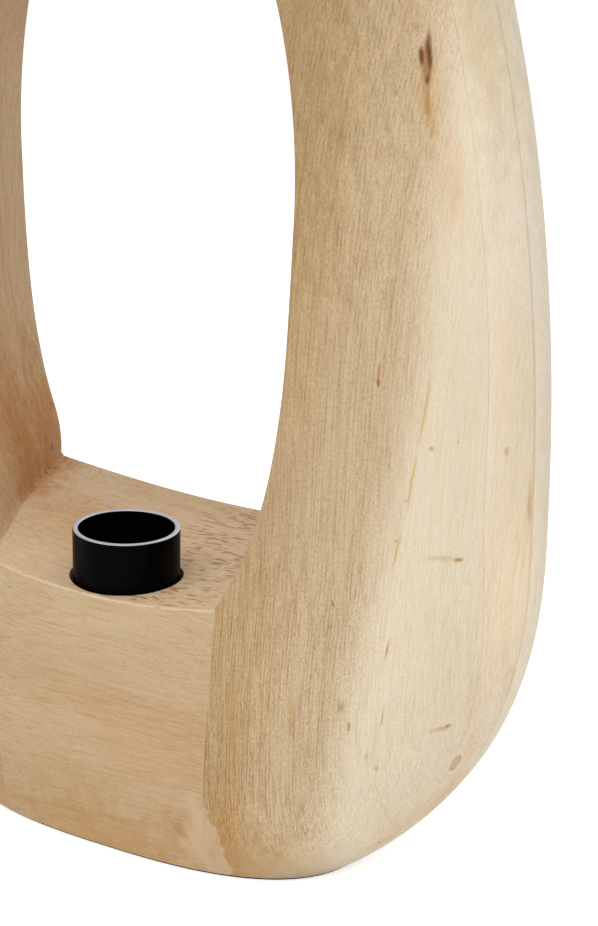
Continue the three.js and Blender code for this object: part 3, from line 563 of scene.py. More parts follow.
def wound_spring():
    """Spring: a circle carried along the helix (r cos a, r sin a, low + rise * t), closed at both ends."""
    wire, radius, coils = 0.35, 2.75, 3.5
    steps, sides = 130, 12
    t = np.linspace(0, 1, steps)[:, None]
    angle = 2 * np.pi * coils * t
    rise = SPRING_HIGH_Z - SPRING_LOW_Z - 2 * wire
    centre = np.concatenate(
        [radius * np.cos(angle), SOCKET_Y + radius * np.sin(angle), SPRING_LOW_Z + wire + rise * t], axis=1
    )
    out = np.concatenate([np.cos(angle), np.sin(angle), 0 * angle], axis=1)
    run = np.gradient(centre, axis=0)
    up = np.cross(run / np.linalg.norm(run, axis=1, keepdims=True), out)
    around = full_turn(sides)[None]
    tube = centre[:, None] + wire * (np.cos(around) * out[:, None] + np.sin(around) * up[:, None])
    ends = [np.repeat(end[:, None], sides, axis=1) for end in (centre[:1], centre[-1:])]
    return grid_mesh("spring_wound", np.concatenate([ends[0], tube, ends[1]]), wrap_columns=True)


def moulded_bush():
    """Bush of the cord inlet: the outline of sleeve and flange, with softened corners, turned."""
    hole, sleeve, flange = 3.7, 6.0, BUSH_FLANGE_RADIUS
    start, seat, thickness = BUSH_START_Y, bush_seat(), 2.0
    end = seat + thickness
    corners = [(hole, start), (sleeve, start), (sleeve, seat), (flange, seat), (flange, end), (hole, end)]
    return turned("bush_moulded", softened(corners, radius=0.7, count=6), sides=96, axis="y")


def felt_pad():
    """Felt: |x/a|^p + |y/b|^p = 1 as in the plan of the foot, drawn in a little, with soft edges."""
    inset, sides = 1.2, 256
    scale = np.array([0, 0.5, 0.99, 0.997, 1, 1, 0.997, 0.99, 0.5, 0])[None, :]
    level = np.array([0, 0, 0, 0.12, 0.4, 1.1, 1.38, FELT, FELT, FELT])[None, :]
    angle = full_turn(sides)
    power = 2 / FOOT_PLAN_POWER
    bow_x, bow_y = (np.sign(wave) * np.abs(wave) ** power for wave in (np.cos(angle), np.sin(angle)))
    x = (FOOT_HALF_WIDTH - inset) * bow_x * scale
    y = (BASE_HALF_DEPTH - FOOT_TUCK - inset) * bow_y * scale
    return grid_mesh("felt_pad", np.stack([x, y, level + 0 * angle], axis=2), wrap_rows=True)


# Finishes

# The part of a noise's values in which most of it lies, its middle, and a part that stands in patches
NOISE_SPAN = (0.3, 0.7)
NOISE_MIDDLE = 0.5
PATCH_SPAN = (0.4, 0.7)


def colour(value):
    """A linear colour of three parts with full cover; sockets pass through."""
    return value if isinstance(value, bpy.types.NodeSocket) or len(value) == 4 else (*value, 1.0)


class Nodes:
    """A node tree under construction, with short calls that add nodes and wire them."""

    def __init__(self, tree):
        self.tree = tree

    def feed(self, node, inputs):
        """Sets each named or numbered input to a value, or wires it to another node's output."""
        for key, value in inputs.items():
            if isinstance(value, bpy.types.NodeSocket):
                self.tree.links.new(value, node.inputs[key])
            else:
                node.inputs[key].default_value = value
        return node

    def node(self, kind, inputs=None, **settings):
        made = self.tree.nodes.new(kind)
        for key, value in settings.items():
            setattr(made, key, value)
        return self.feed(made, inputs or {})

    def math(self, operation, first, second=0.0, third=0.0):
        return self.node("ShaderNodeMath", {0: first, 1: second, 2: third}, operation=operation).outputs[0]

    def plus(self, first, second):
        return self.math("ADD", first, second)

    def less(self, first, second):
        return self.math("SUBTRACT", first, second)

    def times(self, *factors):
        return reduce(lambda first, second: self.math("MULTIPLY", first, second), factors)

    def for_eye(self, unseen, seen):
        """One shader, and another for rays that show the surroundings: straight, glossy or clear."""
        rays = self.node("ShaderNodeLightPath").outputs
        direct = self.plus(rays["Is Camera Ray"], rays["Is Glossy Ray"])
        shown = self.math("MAXIMUM", direct, rays["Is Transmission Ray"])
        return self.node("ShaderNodeMixShader", {0: shown, 1: unseen, 2: seen}).outputs[0]


class Finish(Nodes):
    """A material under construction. Its patterns lie on the piece's own coordinates, in metres."""

    def __init__(self, name, **values):
        self.material = bpy.data.materials.new(name)
        self.material.use_nodes = True
        super().__init__(self.material.node_tree)
        self.done(**values)
        self.spot = self.node("ShaderNodeTexCoord").outputs["Object"]

    def vector(self, operation, first, second=(0, 0, 0)):
        node = self.node("ShaderNodeVectorMath", {0: first, 1: second}, operation=operation)
        return node.outputs["Value" if operation == "LENGTH" else "Vector"]

    def scaled(self, vector, scale):
        return self.vector("MULTIPLY", vector, scale)

    def noise(self, vector, detail=2.0):
        inputs = {"Vector": vector, "Scale": 1.0, "Detail": detail, "Roughness": 0.5}
        return self.node("ShaderNodeTexNoise", inputs).outputs

    def speckle(self, scale, detail=2.0):
        """Noise of so many cycles per metre, even or by axis."""
        return self.noise(self.scaled(self.spot, np.broadcast_to(scale, 3).tolist()), detail)[0]

    def range(self, value, low, high, out_low=0.0, out_high=1.0):
        inputs = {0: value, 1: low, 2: high, 3: out_low, 4: out_high}
        return self.node("ShaderNodeMapRange", inputs, interpolation_type="SMOOTHSTEP").outputs[0]

    def within(self, length, low, high, out_low=0.0, out_high=1.0):
        """A range whose limits are given in millimetres."""
        return self.range(length, low * MM, high * MM, out_low, out_high)

    def band(self, length, rise, fall):
        """The product of two such ranges."""
        return self.times(self.within(length, *rise), self.within(length, *fall))

    def mix(self, first, second, share, blend="MIX"):
        inputs = {0: share, 6: colour(first), 7: colour(second)}
        return self.node("ShaderNodeMix", inputs, data_type="RGBA", blend_type=blend).outputs[2]

    def parts(self, vector):
        return self.node("ShaderNodeSeparateXYZ", {0: vector}).outputs

    def bump(self, height, distance):
        """Relief of a given height in millimetres."""
        inputs = {"Height": height, "Distance": distance * MM, "Strength": 1.0}
        return self.node("ShaderNodeBump", inputs).outputs[0]

    def done(self, **values):
        """Sets or wires the shader's own sockets."""
        shader = self.tree.nodes["Principled BSDF"]
        self.feed(shader, {key.replace("_", " "): value for key, value in values.items()})
        return self.material


# Colours of the wood, linear
CREAM = (0.745, 0.638, 0.478)
PALE_CREAM = (0.795, 0.70, 0.56)
TAN = (0.485, 0.345, 0.195)
FLANK = (0.56, 0.425, 0.27)
RAIL_TAN = (0.568, 0.414, 0.254)
HAZEL = (0.52, 0.345, 0.185)
FILLER = (0.62, 0.445, 0.285)

# Stains, multiplied into the wood under them
HONEY = (0.88, 0.72, 0.44)
# Paler wood in some marks; in others painted light that lifts the shade low on the foot and the arm
PALE_WOOD_AND_PAINTED_LIGHT = (1.16, 1.16, 1.14)
BLUSH = (0.97, 0.84, 0.74)
DUSK = (0.80, 0.76, 0.70)
SHADE = (0.76, 0.75, 0.66)
SMUDGE = (0.60, 0.42, 0.22)
RUST = (0.66, 0.40, 0.18)
# Ruddier wood of the left arm's inner wall, with painted warm shade of light bounced in the opening
RUDDY_WOOD_AND_SHADE = (0.80, 0.54, 0.27)
PORE = (0.60, 0.47, 0.31)
FINE_LINE = (0.90, 0.82, 0.67)
FIBRE_SHADE = (0.88, 0.83, 0.75)
FIBRE_LIGHT = (1.07, 1.08, 1.09)
GRIT_SHADE = (0.87, 0.83, 0.76)
GRIT_LIGHT = (1.09, 1.10, 1.12)
DENT = (0.58, 0.43, 0.29)
# Painted light: lightens the bar's top as if it were lit more from above
BAR_TOP_PAINTED_LIGHT = (1.07, 1.09, 1.13)
KNOT = (0.21, 0.075, 0.022)

# Clouds: the tint, the noise at which it is full, and how far it covers then
CLOUDS = [(HONEY, 0.75, 0.35), (DUSK, 0.75, 0.30), (BLUSH, 0.72, 0.5)]

# Noise of the figure: cycles per metre across the grain and along it, and detail
SWAY_NOISE = (10, 3)
CLOUD_NOISE = (26, 4, 3.0)
RING_SWAY_NOISE = (60, 4)
RING_PATCH_NOISE = (70, 9)
LINE_SWAY_NOISE = (240, 6)
LINE_PATCH_NOISE = (430, 24)
FIBRE_NOISE = (1500, 45, 3.0)
GRIT_NOISE = (2300, 1000)
PORE_NOISE = (1900, 190, 1.0)
PORE_CROWD_NOISE = (130, 16)
DENT_NOISE = (560, 190, 4.0)
MARK_NOISE = (260, 120, 3.0)

# How a board's seed moves its noise along the three axes
SEED_STEPS = (1.0, 0.7, 1.3)

# Where a noise or the place in a ring becomes figure: from, to, and the values there if not 0 and 1
LATE_WOOD_PART = (0.75, 0.97)
RING_PATCH = (0.42, 0.62, 0.05, 0.45)
FINE_LINE_PART = (0.58, 0.88)
LINE_PATCH = (0.38, 0.62, 0.25, 1.0)
PORE_SPOT = (0.60, 0.70)
PORE_CROWD = (0.36, 0.62, 0.2, 1.0)
DENT_SPOT = (0.51, 0.63)
FIBRE_SPREAD = 0.20
GRIT_SPREAD = 0.16
WOOD_GLOSS = (0.66, 0.56)

# Shares: how strongly the figure shows in colour and relief, sways and leans
PORE_COVER = 0.3
DENT_COVER = 0.9
EDGE_HIGHLIGHT_COVER = 0.35
PORE_RELIEF = 0.3
LINE_RELIEF = 0.8
GRIT_RELIEF = 0.2
SAP_FIGURE = 0.36
SAP_LEAN = 0.15
LINE_SWAY = 2.0
GROWTH_SWAY = 0.15
MARK_WAVE = 1.1

# Sizes of the figure and places on the lamp, in millimetres: from, to, and the values if not 0 and 1
WOOD_RELIEF = 0.12
RING_WIDTH = 8.0
LINE_WIDTH = 1.05
GRAIN_SWAY = 16.0
GRAIN_BEND_HEIGHT = 95.0
GRAIN_BEND_RADIUS = 35.0
SAP_STRAIGHT_HEIGHT = 215.0
COARSE_FOOT = (80.0, 170.0, 1.55, 1.0)
WORN_FOOT = (4.0, 30.0, 0.25, 1.0)
BAR_END = 51.0
BAR_END_BELOW = (-1.4, -1.0)
BAR_END_ABOVE = (1.2, 0.6)
BAR_END_EDGE = (-0.5, 0.5)
BAR_TOP = (-1.2, -0.5)
BAR_HIGHLIGHT_LOW = (-1.0, -0.6)
BAR_HIGHLIGHT_HIGH = (-0.1, -0.4)
DENTS_START = (-20.0, 12.0, 0.2, 1.0)
DENTS_END = (48.0, 38.0, 0.15, 1.0)
ARM_OUTSIDE = (85.0, 105.0)
GROWTH_PALER = (0.0, 0.8, 0.0, 0.8)
GROWTH_LINE = (0.7, 0.1, 0.0, 0.28)
UPRIGHT_PITH = (160.0, -30.0, 0.0)
RAIL_PITH = (110.0, -100.0, 0.0)


def metres(lengths):
    return tuple(MM * length for length in lengths)


class Wood(Finish):
    """Sanded wood under construction: its grain coordinates, the paint so far and the strength of its figure.

    The third axis of the grain coordinates runs along the grain. Growth rings are shells round a pith that
    lies outside the board, swayed by slow noise.
    """

    def __init__(self, name, flat, seed, sweep, heart, figure):
        super().__init__(name, Specular_IOR_Level=0.2)
        self.paint, self.figure = colour(heart), figure
        self.x, self.y, self.z = self.parts(self.spot)
        self.bar_end = 0.0 if flat else self.end_of_bar(sweep < 0)
        lie = self.lie_of_grain(flat, sweep)
        shifted = self.vector("ADD", lie, tuple(seed * step for step in SEED_STEPS))
        sway = (GRAIN_SWAY * MM, GRAIN_SWAY * MM, 0.0)
        self.sway = self.scaled(self.swing(shifted, *SWAY_NOISE), sway)
        self.grain = self.vector("ADD", shifted, self.sway)
        pith = metres(RAIL_PITH if flat else UPRIGHT_PITH)
        from_pith = self.vector("ADD", self.vector("ADD", lie, self.sway), pith)
        self.shell = self.vector("LENGTH", self.scaled(from_pith, (1, 1, 0)))

    def drawn_out(self, vector, across, lengthwise, detail=2.0):
        """Noise drawn out along the third axis."""
        return self.noise(self.scaled(vector, (across, across, lengthwise)), detail)

    def swing(self, vector, *noise):
        """Drawn out noise as a vector that swings round zero."""
        return self.vector("SUBTRACT", self.drawn_out(vector, *noise)["Color"], (NOISE_MIDDLE,) * 3)

    def grain_noise(self, *noise):
        return self.drawn_out(self.grain, *noise)[0]

    def over_bar(self):
        """Height over the dished top of the bar: z - x^2 / (2 dish radius) - height of the bar."""
        dish = self.times(self.x, self.x, 0.5 / (BAR_DISH_RADIUS * MM))
        return self.less(self.less(self.z, dish), (FELT + BAR_HEIGHT) * MM)

    def end_of_bar(self, left):
        """1 on the short end of the bar's top that belongs to an upright, up to the corner of the opening."""
        over = self.over_bar()
        top = self.band(over, BAR_END_BELOW, BAR_END_ABOVE)
        at_middle = (BAR_END + OPENING_FLARE * OPENING_RIM_DEPTH) * MM
        corner = self.math("MULTIPLY_ADD", self.y, OPENING_FLARE, at_middle)
        if left:
            corner = self.plus(corner, self.within(self.y, *LEFT_CORNER_DEPTHS, 0.0, LEFT_CORNER * MM))
        room = self.less(corner, self.math("ABSOLUTE", self.x))
        return self.times(top, self.within(room, *BAR_END_EDGE))

    def lie_of_grain(self, flat, sweep):
        """On a rail the grain lies across the lamp, and so it does on the end of the bar.

        On an upright it stands straight at the foot and leans above it: each fibre is moved sideways by
        sweep / 2 * (h + sqrt(h^2 + bend radius^2)), with h above the bend.
        """
        inputs = {"Vector": self.spot, "Rotation": (0.0, -np.pi / 2, 0.0)}
        across = self.node("ShaderNodeMapping", inputs).outputs[0]
        if flat:
            return across
        rise = self.less(self.z, GRAIN_BEND_HEIGHT * MM)
        root = self.math("SQRT", self.plus(self.times(rise, rise), (GRAIN_BEND_RADIUS * MM) ** 2))
        shift = self.times(self.plus(rise, root), sweep / 2)
        aside = self.node("ShaderNodeCombineXYZ", {0: shift}).outputs[0]
        upright = self.vector("SUBTRACT", self.spot, aside)
        turn = self.scaled(self.vector("SUBTRACT", across, upright), self.bar_end)
        return self.vector("ADD", upright, turn)

    def stain(self, tint, share):
        self.paint = self.mix(self.paint, tint, share, "MULTIPLY")

    def cover(self, tint, share):
        self.paint = self.mix(self.paint, tint, share)

    def shown(self, share, strength=1.0):
        """A share of the wood's figure, as strong as the figure is at that place."""
        return self.times(share, self.figure, strength)

    def heart_to_sap(self, sap, span):
        """Heartwood passes into the flank and then into pale, smooth sapwood; the border leans outwards.

        The figure is coarser at the foot and worn off on its edge. The end of the bar is like the rail, and
        on its border, by 4 * end * (1 - end), the figure is left out.
        """
        heart_end, flank_start, flank_end, sap_start = span
        x, _, z = self.parts(self.vector("ADD", self.spot, self.sway))
        level = self.math("MINIMUM", z, SAP_STRAIGHT_HEIGHT * MM)
        lean = self.times(self.less(level, GRAIN_BEND_HEIGHT * MM), SAP_LEAN)
        reach = self.less(self.math("ABSOLUTE", x), lean)
        self.cover(FLANK, self.within(reach, heart_end, flank_start))
        self.cover(sap, self.within(reach, flank_end, sap_start))
        self.cover(RAIL_TAN, self.bar_end)
        # Painted light from above on the end of the bar, as on the rail's top
        self.stain(BAR_TOP_PAINTED_LIGHT, self.bar_end)
        smooth = self.within(reach, flank_end, sap_start, 1.0, SAP_FIGURE)
        figure = self.times(smooth, self.within(self.z, *COARSE_FOOT), self.within(self.z, *WORN_FOOT))
        figure = self.math("MULTIPLY_ADD", self.less(1.0, figure), self.bar_end, figure)
        border = self.times(self.less(1.0, self.bar_end), self.bar_end, 4.0)
        self.figure = self.times(figure, self.less(1.0, border))

    def slow_tones(self):
        """Honey, grey and pink clouds, drawn out along the grain."""
        cloud = self.drawn_out(self.grain, *CLOUD_NOISE)["Color"]
        shares = self.node("ShaderNodeSeparateColor", {0: cloud}).outputs
        for share, (tint, full, most) in zip(shares, CLOUDS):
            self.stain(tint, self.range(share, NOISE_MIDDLE, full, 0.0, most))

    def growth_line(self, sap, depth):
        """A growth line at some depth of the board, on the outside of the arm, with paler wood behind it."""
        bent = self.vector("ADD", self.spot, self.scaled(self.sway, (GROWTH_SWAY,) * 3))
        x, y, _ = self.parts(bent)
        outside = self.within(x, *ARM_OUTSIDE)
        behind = self.less(y, depth * MM)
        self.cover(sap, self.times(self.within(behind, *GROWTH_PALER), outside))
        line = self.within(self.math("ABSOLUTE", behind), *GROWTH_LINE)
        self.stain(SMUDGE, self.times(line, outside))

    def rings(self, width, uneven, low, high):
        """A line at the end of each growth ring of a given width, made uneven by noise."""
        year = self.math("FRACT", self.plus(self.math("DIVIDE", self.shell, width * MM), uneven))
        return self.times(self.range(year, low, high), self.range(year, 1.0, high))

    def late_wood(self):
        """Thin honey lines at the end of wide growth rings, which come and go."""
        line = self.rings(RING_WIDTH, self.grain_noise(*RING_SWAY_NOISE), *LATE_WOOD_PART)
        there = self.range(self.grain_noise(*RING_PATCH_NOISE), *RING_PATCH)
        self.stain(HONEY, self.shown(line, there))

    def fine_lines(self):
        """Close dark lines along the grain, about 1 mm apart, each a few centimetres long."""
        uneven = self.times(self.grain_noise(*LINE_SWAY_NOISE), LINE_SWAY)
        there = self.range(self.grain_noise(*LINE_PATCH_NOISE), *LINE_PATCH)
        return self.times(self.rings(LINE_WIDTH, uneven, *FINE_LINE_PART), there)

    def pores(self):
        """Short dark pores, which crowd together in places."""
        crowd = self.range(self.grain_noise(*PORE_CROWD_NOISE), *PORE_CROWD)
        return self.shown(self.range(self.grain_noise(*PORE_NOISE), *PORE_SPOT), crowd)

    def two_tones(self, noise, spread, shade, light, strength):
        """Darkens the wood where a noise is low and lightens it where it is high."""
        for tint, end in ((shade, NOISE_MIDDLE - spread), (light, NOISE_MIDDLE + spread)):
            self.stain(tint, self.shown(self.range(noise, NOISE_MIDDLE, end), strength))

    def bar_top(self):
        """Painted light on the bar's top, a painted highlight on its rubbed front edge, and short dark dents,
        dense to the right of the cup.

        Returns the dents, for the relief.
        """
        over = self.over_bar()
        top = self.within(over, *BAR_TOP)
        # Painted light on the top of the bar
        self.stain(BAR_TOP_PAINTED_LIGHT, top)
        dent = self.range(self.grain_noise(*DENT_NOISE), *DENT_SPOT)
        dent = self.times(dent, top, self.band(self.x, DENTS_START, DENTS_END), DENT_COVER)
        self.stain(DENT, dent)
        # Painted highlight: a cream line along the bar's rubbed front edge
        edge = self.band(over, BAR_HIGHLIGHT_LOW, BAR_HIGHLIGHT_HIGH)
        self.cover(CREAM, self.times(edge, EDGE_HIGHLIGHT_COVER))
        return dent

    def lay(self, marks):
        """Lays knots, streaks and stains over the wood."""
        wave = self.scaled(self.swing(self.spot, *MARK_NOISE), (MARK_WAVE,) * 3)
        for spec in marks:
            self.mark(wave, *spec)

    def mark(self, wave, centre, size, tint, cover, core=0.0, lean=0.0):
        """One mark: an ellipsoid with a wavy edge, soft or crisp. Filler hides the wood, a stain tints it."""
        turn = (0.0, np.radians(lean), 0.0)
        inputs = {"Vector": self.spot, "Location": metres(centre), "Rotation": turn, "Scale": metres(size)}
        local = self.node("ShaderNodeMapping", inputs, vector_type="TEXTURE").outputs[0]
        ball = self.vector("LENGTH", self.vector("ADD", local, wave))
        lay_on = self.cover if tint is FILLER else self.stain
        lay_on(tint, self.range(ball, 1.0, core, 0.0, cover))


def wood(name, flat=False, seed=0.0, sweep=0.0, heart=TAN, sap=CREAM, sap_span=None, growth=None, figure=1.0,
         line_cover=0.6, grit_cover=0.95, bar=False, marks=()):
    """Sanded, open-pored wood: tones, late wood, fine lines, fibres, grit and pores, then its own marks."""
    board = Wood(name, flat, seed, sweep, heart, figure)
    if sap_span:
        board.heart_to_sap(sap, sap_span)
    board.slow_tones()
    if growth:
        board.growth_line(sap, growth)
    board.late_wood()
    line, pore = board.fine_lines(), board.pores()
    fibre, grit = board.grain_noise(*FIBRE_NOISE), board.grain_noise(*GRIT_NOISE)
    board.stain(FINE_LINE, board.shown(line, line_cover))
    board.two_tones(fibre, FIBRE_SPREAD, FIBRE_SHADE, FIBRE_LIGHT, 1.0)
    board.two_tones(grit, GRIT_SPREAD, GRIT_SHADE, GRIT_LIGHT, grit_cover)
    board.stain(PORE, board.times(pore, PORE_COVER))
    low = board.plus(board.times(pore, PORE_RELIEF), board.shown(line, LINE_RELIEF))
    if bar:
        low = board.plus(low, board.bar_top())
    if marks:
        board.lay(marks)
    relief = board.less(board.shown(board.math("MULTIPLY_ADD", grit, GRIT_RELIEF, fibre)), low)
    gloss = board.range(fibre, *NOISE_SPAN, *WOOD_GLOSS)
    return board.done(Base_Color=board.paint, Roughness=gloss, Normal=board.bump(relief, WOOD_RELIEF))


# Marks on the boards: centre, half sizes, tint, cover and, if not 0, the core (0 soft to 1 crisp) and the
# lean in degrees. Filler hides the marks that come before it.
RIGHT_FRONT_MARKS = [
    ((76, -48, 325), (52, 60, 135), SHADE, 1),
    ((124, -28, 305), (15, 30, 70), PALE_WOOD_AND_PAINTED_LIGHT, 0.4, 0, -12),
    ((128, -27, 100), (22, 24, 60), SHADE, 0.16),
    ((122, -27, 262), (7, 9, 22), BLUSH, 0.9, 0, -8),
    ((113, -29.5, 289), (5.5, 9, 24), HONEY, 0.75, 0, -8),
    ((110.8, -29.4, 301), (2, 8, 9.5), RUST, 0.75, 0.2, -6),
    ((109.5, -30, 303.4), (1, 6, 4.6), KNOT, 0.85, 0.3, -5),
    ((111.4, -28.2, 304.8), (1.2, 6, 8.5), KNOT, 0.9, 0.1, -6),
    ((111.9, -29.4, 296.2), (1.3, 6, 3.6), KNOT, 0.75, 0, -3),
    ((112.4, -29.9, 289.5), (1.1, 5, 7), RUST, 0.6, 0, -6),
    ((103.7, -35.9, 291.8), (0.9, 4, 1.6), SMUDGE, 0.5, 0.3),
    ((104.2, -40.8, 198), (1, 4, 2), RUST, 0.95, 0.4),
    ((104.3, -40.5, 201.5), (0.7, 4, 5), RUST, 0.6, 0.2, 4),
    ((120.8, -32.2, 176.1), (0.8, 4, 1.4), SMUDGE, 0.7, 0.3),
    ((118.2, -33.6, 188), (0.7, 4, 15), HONEY, 0.9, 0.2, 6.4),
    ((115.1, -34.8, 162.8), (0.7, 4, 15), HONEY, 0.9, 0.2, 7),
    ((111.7, -36.4, 139.8), (0.7, 4, 13), HONEY, 0.9, 0.2, 10),
    ((128.2, -27.6, 178.2), (0.6, 4, 0.9), SMUDGE, 0.45, 0.3),
    ((113.5, -35.3, 157.1), (0.6, 4, 0.9), SMUDGE, 0.7, 0.3),
    ((111.3, -36.4, 142.5), (0.6, 4, 0.9), SMUDGE, 0.7, 0.3),
    ((125.5, -29.4, 136.7), (7, 7, 1.7), RUST, 0.35, 0.2),
    ((130.3, -26.6, 136.4), (2.2, 5, 1.2), RUST, 0.95, 0.2),
    ((92, -44.4, 118.6), (0.7, 3, 1.6), SMUDGE, 0.9, 0.3, -20),
    ((110.7, -38.4, 104), (0.5, 4, 7), SMUDGE, 0.9, 0.2, 7),
    ((110.4, -39.1, 78), (0.5, 4, 5.5), SMUDGE, 0.8, 0.2, 8),
    ((96.8, -44.6, 80.2), (1.8, 4, 3.2), SMUDGE, 0.6, 0.1),
    ((99.5, -43.6, 73.5), (0.8, 4, 3), RUST, 0.8, 0.3),
    ((105.5, -40.7, 61.9), (1.2, 4, 2.2), HONEY, 0.9, 0.1),
    ((108.7, -38.7, 57.5), (1, 4, 2), RUST, 0.6, 0.1, 10),
    ((126.5, -27.6, 73), (6, 6, 1.5), RUST, 0.55, 0.1, -14),
    ((129.8, -25.8, 74.4), (1.8, 4, 1), RUST, 0.9, 0.2, -30),
    ((57, -51.5, 58), (9, 14, 60), HONEY, 0.45),
    ((66, -48, 82), (34, 30, 64), PALE_WOOD_AND_PAINTED_LIGHT, 0.6),
    # Painted light: pale washes that lift the shade where the foot turns under
    ((78, -45, 32), (26, 24, 30), PALE_WOOD_AND_PAINTED_LIGHT, 0.7),
    ((58, -51, 16), (18, 18, 30), PALE_WOOD_AND_PAINTED_LIGHT, 0.6),
    ((62, -50.5, 6), (30, 18, 30), HONEY, 0.6),
    ((54, -52, 18), (12, 16, 38), HONEY, 0.6, 0, -8),
    ((112, -20, 24), (9, 24, 34), HONEY, 0.6, 0, 42),
    # Painted light lifting the foot's shade
    ((55, -52, 32), (13, 16, 28), PALE_WOOD_AND_PAINTED_LIGHT, 0.55),
    ((47, -51.5, 7), (7.6, 14, 29), FILLER, 0.8, 0.8, -9),
    ((48.5, -50.5, 10.3), (2, 8, 4), RUST, 0.25),
    ((104.7, -24.5, 20.5), (0.6, 3, 0.6), KNOT, 0.8, 0.4),
    # Painted light lifting the shade at the bottom of the foot
    ((80, -43, 14), (10, 12, 17), PALE_WOOD_AND_PAINTED_LIGHT, 0.9, 0, 32),
    ((98, -38, 28), (22, 22, 20), PALE_WOOD_AND_PAINTED_LIGHT, 0.35, 0, 40),
    ((47.6, -54, 52), (0.4, 6, 22), SMUDGE, 0.85, 0.3, 2.9),
]
RIGHT_MIDDLE_MARKS = [
    ((129.6, -19.9, 57.9), (3.8, 2.3, 4.6), SMUDGE, 0.75, 0.75, 24),
    ((129.6, -19.9, 57.9), (2.9, 1.7, 3.6), FILLER, 0.9, 0.75, 24),
    ((141.7, -16.6, 174.6), (3, 0.8, 2.6), SMUDGE, 0.6, 0.2),
    ((115, -12, 340), (50, 34, 110), SHADE, 0.7),
    ((118, -14, 32), (9, 24, 36), HONEY, 0.55, 0, 42),
    # Painted light: pale washes low on the arm's outer side, where it takes light bounced from the floor
    ((142, 3, 92), (28, 26, 54), PALE_WOOD_AND_PAINTED_LIGHT, 0.5),
    ((147, -11, 124), (22, 16, 44), PALE_WOOD_AND_PAINTED_LIGHT, 0.6),
    ((128, -12, 300), (40, 34, 80), HONEY, 0.14),
    ((147.9, -8.9, 155), (4, 1.2, 12), RUST, 0.5, 0.1),
]
BASE_FRONT_MARKS = [
    ((0, -56, 4), (75, 20, 34), HONEY, 0.8),
    ((34, -54, 21), (8, 12, 14), HONEY, 0.5),
    ((36, -54, 20), (4, 9, 6), RUST, 0.35),
    ((43, -54.7, 30.5), (3.2, 9, 10), FILLER, 0.6, 0.3, -12),
    ((45.8, -53, 17), (6.5, 11, 15), FILLER, 0.7, 0.6, -6),
    ((43.5, -51.8, 9), (7.5, 9, 7.5), FILLER, 0.55, 0.3),
    ((37.5, -52.6, 13.8), (4.2, 8, 4), FILLER, 0.6, 0.1),
    ((47.4, -50.8, 9.5), (3, 8, 4.5), RUST, 0.3),
]
BASE_MIDDLE_MARKS = [
    ((-42, -2, 106), (44, 40, 14), HONEY, 0.7),
]
LEFT_REAR_MARKS = [
    # The wood's ruddier tone and painted warm shade on the arm's inner wall
    ((-84, 30, 135), (18, 45, 80), RUDDY_WOOD_AND_SHADE, 1),
    ((-84, 30, 128), (18, 45, 45), RUST, 0.12),
    ((-81.2, 36.2, 124.3), (4, 7, 4), KNOT, 0.8, 0.2),
    ((-101, 46, 246), (3, 9, 4.5), KNOT, 0.85, 0.3, 6),
    ((-101.5, 46, 243), (6, 10, 14), RUST, 0.5, 0, 6),
]
LEFT_MIDDLE_MARKS = [
    # The wood's ruddier tone and painted warm shade on the arm's inner wall
    ((-78, 10, 135), (18, 40, 80), RUDDY_WOOD_AND_SHADE, 1),
    ((-78, 10, 128), (18, 40, 45), RUST, 0.12),
    # Pale filler patches along the inner corner, which also paint light into the crease's shade
    ((-68, 14.1, 121.6), (8, 9, 4), FILLER, 0.6, 0.1),
    ((-66, 4, 112.5), (8, 26, 3), FILLER, 0.4),
    ((-60, 8, 108), (26, 40, 8), HONEY, 0.6),
    ((-149, 4, 205), (9, 2.2, 5), KNOT, 0.8, 0.2),
    ((-149, 4, 205), (10, 5, 13), RUST, 0.5),
]
LEFT_FRONT_MARKS = [
    ((-103, -43, 172), (2.4, 9, 3.6), KNOT, 0.85, 0.3, -6),
    ((-103, -43, 171), (5, 9, 12), RUST, 0.5, 0, -6),
    ((-118, -36, 92), (0.6, 6, 9), SMUDGE, 0.8, 0.2, -8),
    ((-96, -44, 60), (1.6, 6, 2.6), SMUDGE, 0.6, 0.1),
]
RIGHT_REAR_MARKS = [
    ((108, 42, 208), (2.8, 9, 4.2), KNOT, 0.85, 0.3, 6),
    ((108, 42, 206), (6, 10, 14), RUST, 0.5, 0, 6),
    ((96, 46, 88), (0.7, 6, 8), SMUDGE, 0.8, 0.2, 6),
]
TOP_FRONT_MARKS = [
    ((20, -30, 424), (4.5, 14, 2.6), KNOT, 0.8, 0.2),
    ((20, -30, 424), (12, 15, 5), RUST, 0.5),
]


